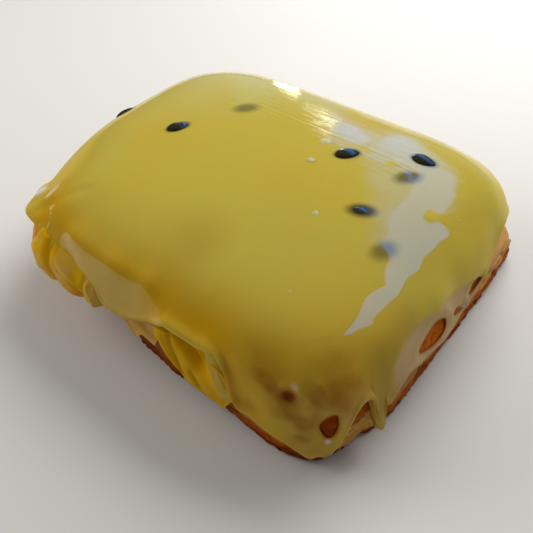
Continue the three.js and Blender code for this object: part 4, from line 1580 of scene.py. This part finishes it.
# Where the window fades out: rows of azimuth, elevation and share of its light.
WINDOW_FADE = [
    [(118.2, 18.2, 0.3), (116.6, 18.2, 0.35), (114.2, 18.2, 0.4)],
    [(117.6, 21.5, 0.5), (116.3, 21.5, 0.45), (114.3, 21.5, 0.45)],
    [(117.3, 25.5, 0.5), (116.3, 25.5, 0.55), (115, 25.5, 0.8)],
    [(119.3, 30, 0), (117.6, 30.1, 0.4), (115, 30.2, 0.8)],
    [(118.2, 35.4, 0), (115.7, 35.7, 0.5), (108, 36.4, 0.55)],
    [(115.7, 40.8, 0), (111.1, 41.3, 0.42), (102.6, 41.6, 0.55)],
    [(114, 42.7, 0), (107.3, 43.6, 0.3), (98.5, 43.9, 0.6)],
    [(111.3, 45.4, 0), (105.3, 45.7, 0.38), (97.7, 46, 0.66)],
    [(106.1, 49, 0), (99, 48.6, 0.33), (93, 48.6, 0.7)],
    [(98.3, 51.5, 0), (91.3, 50.7, 0.25), (86, 50.2, 0.6)],
    [(91, 52.3, 0), (83.6, 51.5, 0), (79.6, 50.8, 0)],
]
PANE = [
    (120.3, 22.8), (118.4, 18.8), (116.4, 20.3), (116.2, 25.3), (117.7, 29.1), (120.4, 29.6), (121.2, 27.8),
]
WINDOW_LIGHT = (0.03, 1.48, 4.65)
# A strip that fades out upwards and to one side: azimuth, highest elevation and share of its light. It
# stands on one elevation, and keeps its full light up to a share of its height.
SHEEN = [
    (116, 8, 1.1), (119, 20, 1.2), (124, 26, 1.2), (130, 31, 1.15), (136, 31, 0.65), (140, 30, 0.55),
    (144, 28, 0.27), (149, 27, 0.13), (162, 26, 0.08),
]
SHEEN_LOW = -1
SHEEN_FULL = 0.65
SHEEN_LIGHT = (0.2, 0.75, 1.0)
HAZE = [(116, -1), (117, 12), (112, 13), (104, 12), (92, 18), (80, 14), (68, 6), (68, -1)]
HAZE_LIGHT = (0.1, 0.3, 0.35)
# Small bright lights: their corners, light and distance.
GLINTS = [
    [(124, -7), (121, -6.4), (118.6, -10), (117.2, -2), (117.4, 8), (118.6, 11), (120.3, 8), (122, 3)],
    [(120.4, 21.0), (119.4, 19.8), (120.0, 23.8), (120.9, 24.8), (120.9, 23)],
]
GLINT_LIGHTS = [(8.2, 8.0, 6.1), (20.0, 19.2, 15.0)]
GLINT_DISTANCES = [0.12, 0.8]
# How far the cards stand from the slice, in metres, so that none lies in another.
CARD_DISTANCE = 0.8
STRIP_DISTANCE = 0.9
FADE_DISTANCE = 1.0

# Soft lights: name, place, aim and width in metres, power in watts, and colour.
LIGHTS = [
    ("key", (-0.01, 0.25, 0.24), (0, 0, 0.02), 0.26, 1.05, (1.0, 0.98, 0.94)),
    ("side", (0.22, 0.36, 0.42), (0.03, 0, 0.02), 0.2, 0.56, (1.0, 0.98, 0.94)),
    ("fill", (-0.4, -0.16, 0.24), (0, 0, 0.02), 0.3, 1.06, (1.0, 0.97, 0.92)),
]
ROOM_COLOUR = (0.96, 0.98, 1.0, 1)
ROOM_STRENGTH = 0.2


def heading(azimuth, elevation):
    """A direction from the slice."""
    flat, rise = math.radians(azimuth), math.radians(elevation)
    return Vector((math.cos(flat) * math.cos(rise), math.sin(flat) * math.cos(rise), math.sin(rise)))


def reflected_card(name, corners, light, distance=CARD_DISTANCE, shares=None, faces=None):
    """A flat glowing card that shows only in reflections, each corner with its share of the light."""
    rays = [heading(*corner) for corner in corners]
    axis = sum(rays, Vector()).normalized()
    middle = Vector((0, 0, HEIGHT * MM))
    points = [middle + ray * (distance / ray.dot(axis)) for ray in rays]
    card = new_object(name, points, faces or [tuple(range(len(points)))])
    paint(card, "share", shares or [1.0] * len(points))
    material, graph = blank_material(name)
    glow = graph.mix(graph.painted("share"), (0, 0, 0), light)
    glow = graph.add("ShaderNodeEmission", {}, {"Color": glow, "Strength": 1.0})
    graph.add("ShaderNodeOutputMaterial", {}, {"Surface": glow})
    card.data.materials.append(material)
    card.visible_camera = card.visible_diffuse = card.visible_shadow = False
    card.visible_transmission = card.visible_volume_scatter = False


def reflected_rows(name, rows, light, distance):
    """A glowing card in rows of azimuth, elevation and share of the light, which runs evenly between them."""
    wide = len(rows[0])
    spots = [spot for row in rows for spot in row]
    corners = [spot[:2] for spot in spots]
    starts = [k for k in range(len(spots) - wide) if (k + 1) % wide]
    faces = [(k, k + 1, k + 1 + wide, k + wide) for k in starts]
    reflected_card(name, corners, light, distance, [spot[2] for spot in spots], faces)


def sheen_rows():
    """The sheen's strip in rows, which fades out towards its upper edge."""
    rows = []
    for level, full in ((0.0, 1.0), (SHEEN_FULL, 1.0), (1.0, 0.0)):
        rows.append([(at, SHEEN_LOW + (high - SHEEN_LOW) * level, share * full) for at, high, share in SHEEN])
    return rows


def soft_light(name, place, aim, width, power, colour):
    """A square soft light that reflections don't see."""
    lamp = bpy.data.lights.new(name, "AREA")
    lamp.size = width
    lamp.energy = power
    lamp.color = colour
    holder = bpy.data.objects.new(name, lamp)
    holder.location = place
    holder.rotation_euler = (Vector(aim) - Vector(place)).to_track_quat("-Z", "Y").to_euler()
    holder.visible_glossy = holder.visible_camera = False
    bpy.context.scene.collection.objects.link(holder)


class SLICE_OT_stage(bpy.types.Operator):
    """Lay the floor, set the lights and place the camera"""

    bl_idname = "slice.stage"
    bl_label = "Stage"

    def execute(self, context):
        scene = bpy.context.scene
        scene.view_settings.view_transform = "Standard"
        self.lay_floor()
        self.set_room(scene)
        for light in LIGHTS:
            soft_light(*light)
        reflected_card("window", WINDOW, WINDOW_LIGHT)
        reflected_rows("window_fade", WINDOW_FADE, WINDOW_LIGHT, FADE_DISTANCE)
        reflected_card("pane", PANE, WINDOW_LIGHT)
        reflected_rows("sheen", sheen_rows(), SHEEN_LIGHT, STRIP_DISTANCE)
        reflected_card("haze", HAZE, HAZE_LIGHT, STRIP_DISTANCE)
        for number, glint in enumerate(zip(GLINTS, GLINT_LIGHTS, GLINT_DISTANCES)):
            reflected_card(f"glint_{number + 1}", *glint)
        self.place_camera(scene)
        return {"FINISHED"}

    def lay_floor(self):
        half = sizes().floor / 2
        corners = [(-half, -half, 0), (half, -half, 0), (half, half, 0), (-half, half, 0)]
        floor = new_object("floor", corners, [(0, 1, 2, 3)])
        floor.data.materials.append(new_material("pale_board", floor_finish))

    def set_room(self, scene):
        """Pale light from all round, which reflections don't see."""
        scene.world = bpy.data.worlds.new("soft_room")
        scene.world.use_nodes = True
        backdrop = scene.world.node_tree.nodes["Background"]
        backdrop.inputs["Color"].default_value = ROOM_COLOUR
        backdrop.inputs["Strength"].default_value = ROOM_STRENGTH
        scene.world.cycles_visibility.glossy = False

    def place_camera(self, scene):
        lens = bpy.data.cameras.new("camera")
        lens.sensor_width = CAMERA_SENSOR
        lens.lens = CAMERA_LENS
        lens.clip_start = CAMERA_NEAREST
        look = Vector(CAMERA_LOOK).normalized()
        side = look.cross(Vector(CAMERA_UP)).normalized()
        turn = Matrix((side, side.cross(look), -look)).transposed().to_4x4()
        camera = bpy.data.objects.new("camera", lens)
        camera.matrix_world = Matrix.Translation(Vector(CAMERA_PLACE) * MM) @ turn
        scene.collection.objects.link(camera)
        scene.camera = camera


class SLICE_PT_sidebar(bpy.types.Panel):
    """Lists the pieces of the slice"""

    bl_label = "Vanilla slice"
    bl_idname = "SLICE_PT_sidebar"
    bl_space_type = "VIEW_3D"
    bl_region_type = "UI"
    bl_category = "Slice"

    def draw(self, context):
        for step in STEPS:
            self.layout.operator(step.bl_idname)
        for group in (context.scene.slice_sizes, context.scene.slice_colours):
            for name in group.__annotations__:
                self.layout.prop(group, name)


STEPS = (
    SLICE_OT_base, SLICE_OT_crumbs, SLICE_OT_custard, SLICE_OT_crust, SLICE_OT_icing, SLICE_OT_seeds,
    SLICE_OT_bubbles, SLICE_OT_glaze, SLICE_OT_stage,
)
CLASSES = (SliceSizes, SliceColours, *STEPS, SLICE_PT_sidebar)


def register():
    for item in CLASSES:
        bpy.utils.register_class(item)
    bpy.types.Scene.slice_sizes = bpy.props.PointerProperty(type=SliceSizes)
    bpy.types.Scene.slice_colours = bpy.props.PointerProperty(type=SliceColours)


def unregister():
    del bpy.types.Scene.slice_colours
    del bpy.types.Scene.slice_sizes
    for item in reversed(CLASSES):
        bpy.utils.unregister_class(item)


def main():
    register()
    bpy.ops.slice.base()
    bpy.ops.slice.crumbs()
    bpy.ops.slice.custard()
    bpy.ops.slice.crust()
    bpy.ops.slice.icing()
    bpy.ops.slice.seeds()
    bpy.ops.slice.bubbles()
    bpy.ops.slice.glaze()
    bpy.ops.slice.stage()


if __name__ == "__main__":
    main()
